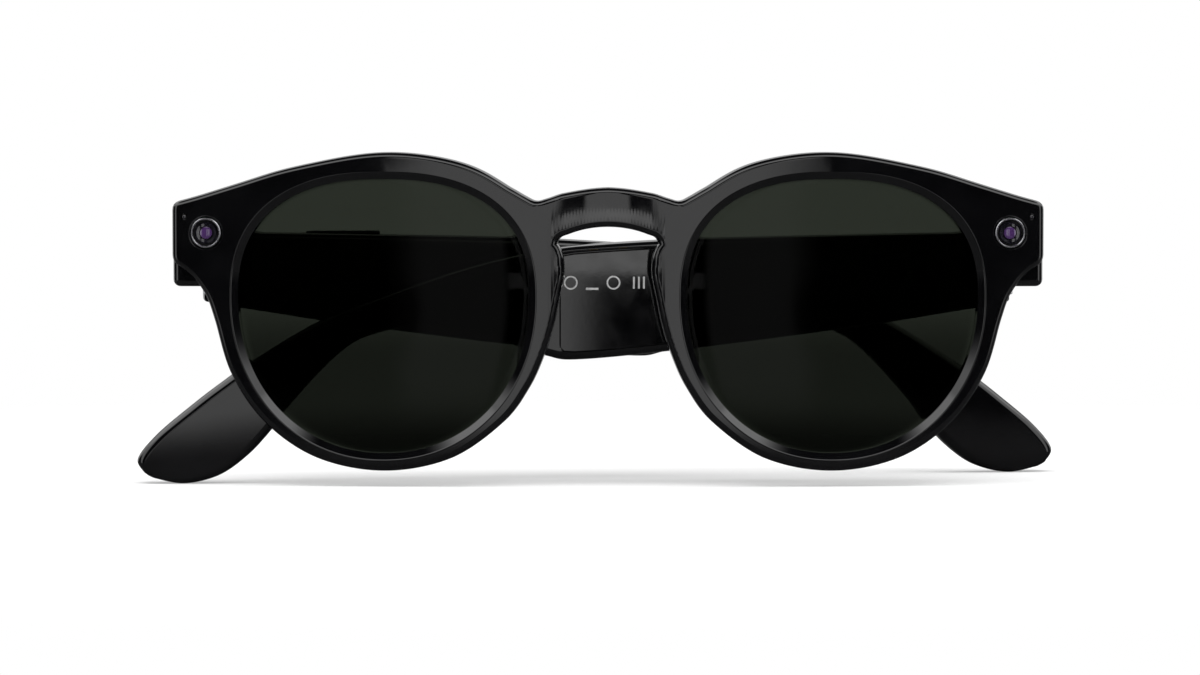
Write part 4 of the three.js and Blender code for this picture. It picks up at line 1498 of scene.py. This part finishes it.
@dataclass
class Studio:
    """A pale floor, the lamps, the world and the camera.

    FADE_OUT is in metres along the floor. The other spans are parts of a direction: how far it points up, across
    or towards the wearer, from -1 to 1.
    """

    FADE_OUT = (0.1, 0.3)
    FACING = (-0.9, -0.95)
    COLUMN = (0.06, 0.072)
    SIDE_PANELS = (0.106, 0.118, 0.165, 0.188)
    LOW_PANEL = (-0.0305, -0.0285, -0.02, -0.018)
    LOW_PANEL_ENDS = (0.1, 0.12)
    BEHIND = (0.1, 0.9)
    OVERHEAD = (0.5, 0.62, 0.78, 0.92)
    WALLS = (0.6, 0.7, 0.84, 0.94)
    BELOW_LENSES = (-0.048, -0.027)

    place: Place
    distance: float = 0.7
    elevation: float = 2.5
    focal: float = 133.4
    sensor: float = 36
    aim: tuple[float, float, float] = (-1.26, 3, -3.34)

    def build(self) -> None:
        """Makes the floor, the lights, the world and the camera."""
        self.build_floor()
        self.build_world()
        for lamp in LAMPS:
            self.hang(lamp)
        self.build_camera()

    def build_floor(self) -> None:
        """A wide pale floor."""
        bm = bmesh.new()
        bmesh.ops.create_grid(bm, x_segments=8, y_segments=8, size=3.0)
        mesh = bpy.data.meshes.new("floor")
        bm.to_mesh(mesh)
        bm.free()
        floor = bpy.data.objects.new("floor", mesh)
        bpy.context.scene.collection.objects.link(floor)
        mesh.materials.append(self.floor_finish())

    def floor_finish(self) -> bpy.types.Material:
        """Pale paper that fades out towards the white, with painted shade that makes it nearly black in
        reflections and through lenses.

        Returns:
            The material.
        """
        shader = Shader("pale_floor")
        shader.fixed(Base_Color=(0.9, 0.9, 0.9), Specular_IOR_Level=0.0)
        shader.feed("Roughness", shader.spread(shader.noise(scale=60), low=0.7, high=0.85))
        shader.relief(shader.noise(scale=400), strength=0.3, depth=1e-5)
        tree = shader.tree
        reach = tree.nodes.new("ShaderNodeVectorMath")
        reach.operation = "LENGTH"
        tree.links.new(shader.stretched((1, 1.3, 1)), reach.inputs[0])
        path = tree.nodes.new("ShaderNodeLightPath").outputs
        painted_shade_share, glow_share = 0.93, 0.35
        # Painted shade: rays reflected off the pieces or passed through a lens see the floor nearly black, in
        # place of the shadow under the glasses and a dark surround.
        indirect = self.maths(tree, "MAXIMUM", path["Is Transmission Ray"], path["Is Glossy Ray"])
        painted_shade_veil = self.blend(tree, indirect, 0.0, painted_shade_share)
        seen = self.blend(tree, path["Is Camera Ray"], painted_shade_veil, glow_share)
        glow = tree.nodes.new("ShaderNodeEmission")
        tree.links.new(path["Is Camera Ray"], glow.inputs["Strength"])
        clear = tree.nodes.new("ShaderNodeBsdfTransparent")
        lit, whole = (tree.nodes.new("ShaderNodeMixShader") for _ in range(2))
        tree.links.new(seen, lit.inputs["Fac"])
        tree.links.new(shader.surface.outputs["BSDF"], lit.inputs[1])
        tree.links.new(glow.outputs["Emission"], lit.inputs[2])
        faded = self.ramp(tree, reach.outputs["Value"], self.FADE_OUT, (0.0, 1.0))
        tree.links.new(faded, whole.inputs["Fac"])
        tree.links.new(lit.outputs["Shader"], whole.inputs[1])
        tree.links.new(clear.outputs["BSDF"], whole.inputs[2])
        tree.links.new(whole.outputs["Shader"], tree.nodes["Material Output"].inputs["Surface"])
        return shader.material

    def build_world(self) -> None:
        """White for the camera, with panels for reflections and a painted shadow through the lenses: a dimmer
        lower part.

        Reflections see a grey back, a dark front with a column, two side panels and a low panel, and bright
        strips overhead and at the sides. Rays that have passed a lens see white, dimmer below the horizon as a
        painted shadow of the glasses. All other rays see an even grey.
        """
        world = bpy.data.worlds.new("studio")
        bpy.context.scene.world = world
        world.use_nodes = True
        tree = world.node_tree
        background = tree.nodes["Background"]
        direction = tree.nodes.new("ShaderNodeTexCoord").outputs["Generated"]
        split = tree.nodes.new("ShaderNodeSeparateXYZ")
        tree.links.new(direction, split.inputs["Vector"])
        forward, height = split.outputs["Y"], split.outputs["Z"]
        across = self.maths(tree, "ABSOLUTE", split.outputs["X"])
        behind = self.ramp(tree, forward, self.BEHIND, (0.0, 0.45))
        facing = self.ramp(tree, forward, self.FACING, (0.0, 1.0))
        column = self.ramp(tree, across, self.COLUMN, (1.0, 0.0))
        sides = self.between(tree, across, self.SIDE_PANELS)
        level = self.between(tree, height, self.LOW_PANEL)
        width = self.ramp(tree, across, self.LOW_PANEL_ENDS, (1.7, 0.0))
        low_panel = self.maths(tree, "MULTIPLY", level, width)
        panels = self.maths(tree, "MAXIMUM", self.maths(tree, "MAXIMUM", column, sides), low_panel)
        ahead = self.maths(tree, "MULTIPLY", facing, panels)
        overhead = self.between(tree, height, self.OVERHEAD, peak=2.2)
        walls = self.between(tree, across, self.WALLS, peak=1.4)
        edges = self.maths(tree, "MAXIMUM", overhead, walls)
        shine = self.maths(tree, "MAXIMUM", self.maths(tree, "MAXIMUM", behind, ahead), edges)
        path = tree.nodes.new("ShaderNodeLightPath").outputs
        even_light = 0.6
        glossy = self.blend(tree, path["Is Glossy Ray"], even_light, shine)
        # Painted shadow: through the lenses the world dims below the horizon, in place of the glasses' shadow
        # seen behind them.
        lower = self.ramp(tree, height, self.BELOW_LENSES, (0.33, 1.0))
        through = self.blend(tree, path["Is Transmission Ray"], glossy, lower)
        tree.links.new(self.blend(tree, path["Is Camera Ray"], through, 1.0), background.inputs["Strength"])
        background.inputs["Color"].default_value = (1, 1, 1, 1)

    @classmethod
    def between(cls, tree: NodeTree, source: NodeSocket, marks: Sequence[float],
                peak: float = 1.0) -> NodeSocket:
        """A soft band of a value.

        Args:
            tree: the node tree.
            source: the value.
            marks: where the band starts, is full, starts to fade and ends.
            peak: its value where it is full.

        Returns:
            The band's value.
        """
        rise = cls.ramp(tree, source, (marks[0], marks[1]), (0.0, peak))
        return cls.maths(tree, "MULTIPLY", rise, cls.ramp(tree, source, (marks[2], marks[3]), (1.0, 0.0)))

    @staticmethod
    def ramp(tree: NodeTree, source: NodeSocket, span: Point2,
             values: Point2) -> NodeSocket:
        """A smooth step of a value.

        Args:
            tree: the node tree.
            source: the value.
            span: where the step starts and ends.
            values: its values there.

        Returns:
            The stepped value.
        """
        node = tree.nodes.new("ShaderNodeMapRange")
        node.interpolation_type = "SMOOTHSTEP"
        for name, value in zip(("From Min", "From Max", "To Min", "To Max"), (*span, *values)):
            node.inputs[name].default_value = value
        tree.links.new(source, node.inputs["Value"])
        return node.outputs["Result"]

    @staticmethod
    def maths(tree: NodeTree, operation: str, *values: NodeSocket) -> NodeSocket:
        """The result of a named operation on one or two values."""
        node = tree.nodes.new("ShaderNodeMath")
        node.operation = operation
        for value, socket in zip(values, node.inputs):
            tree.links.new(value, socket)
        return node.outputs[0]

    @staticmethod
    def blend(tree: NodeTree, share: NodeSocket, low: float | NodeSocket,
              high: float | NodeSocket) -> NodeSocket:
        """One value where share is 0 and another where it is 1."""
        node = tree.nodes.new("ShaderNodeMix")
        tree.links.new(share, node.inputs["Factor"])
        for name, value in (("A", low), ("B", high)):
            if isinstance(value, NodeSocket):
                tree.links.new(value, node.inputs[name])
            else:
                node.inputs[name].default_value = value
        return node.outputs["Result"]

    @staticmethod
    def hang(lamp: Lamp) -> None:
        """Hangs a lamp that lights the pieces and doesn't show in their reflections.

        Args:
            lamp: the lamp.
        """
        light = bpy.data.lights.new(lamp.name, "AREA")
        light.shape, light.energy = "RECTANGLE", lamp.power
        light.size, light.size_y = lamp.size
        made = bpy.data.objects.new(lamp.name, light)
        made.location = lamp.spot
        made.rotation_euler = (Vector(lamp.aim) - Vector(lamp.spot)).to_track_quat("-Z", "Y").to_euler()
        made.visible_glossy = False
        bpy.context.scene.collection.objects.link(made)

    def build_camera(self) -> None:
        """The camera, straight in front and a little above, aimed just below the middle of the front."""
        data = bpy.data.cameras.new("camera")
        data.lens, data.sensor_width = self.focal, self.sensor
        camera = bpy.data.objects.new("camera", data)
        target = self.place.origin + Vector(self.aim) * MM
        tilt = math.radians(self.elevation)
        away = Vector((0, -math.cos(tilt), math.sin(tilt)))
        camera.location = target + away * self.distance
        camera.rotation_euler = (-away).to_track_quat("-Z", "Y").to_euler()
        bpy.context.scene.collection.objects.link(camera)
        bpy.context.scene.camera = camera


def dress_nodes(nodes: dict[str, bpy.types.Object]) -> None:
    """Gives every carried-over node its finish.

    Args:
        nodes: the frame's nodes by name.
    """
    for name, node in nodes.items():
        base = name.removesuffix("_left").removesuffix("_right")
        finish = NODE_FINISH.get(base)
        if finish is None:
            continue
        node.data.materials.clear()
        node.data.materials.append(finish.made())
        LOG.info("%s: finish %s", name, finish.name)


def main() -> None:
    """Builds the pieces in order and reports each one."""
    logging.basicConfig(level=logging.INFO, format="%(name)s: %(message)s")
    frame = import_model()
    place = Place.of_frame(frame["joints"])
    Front(place).build()
    RightTemple(place, Side.RIGHT).build()
    LeftTemple(place, Side.LEFT).build()
    dress_nodes(frame["nodes"])
    Studio(place).build()
    bpy.context.scene.view_settings.view_transform = "Standard"


if __name__ == "__main__":
    main()
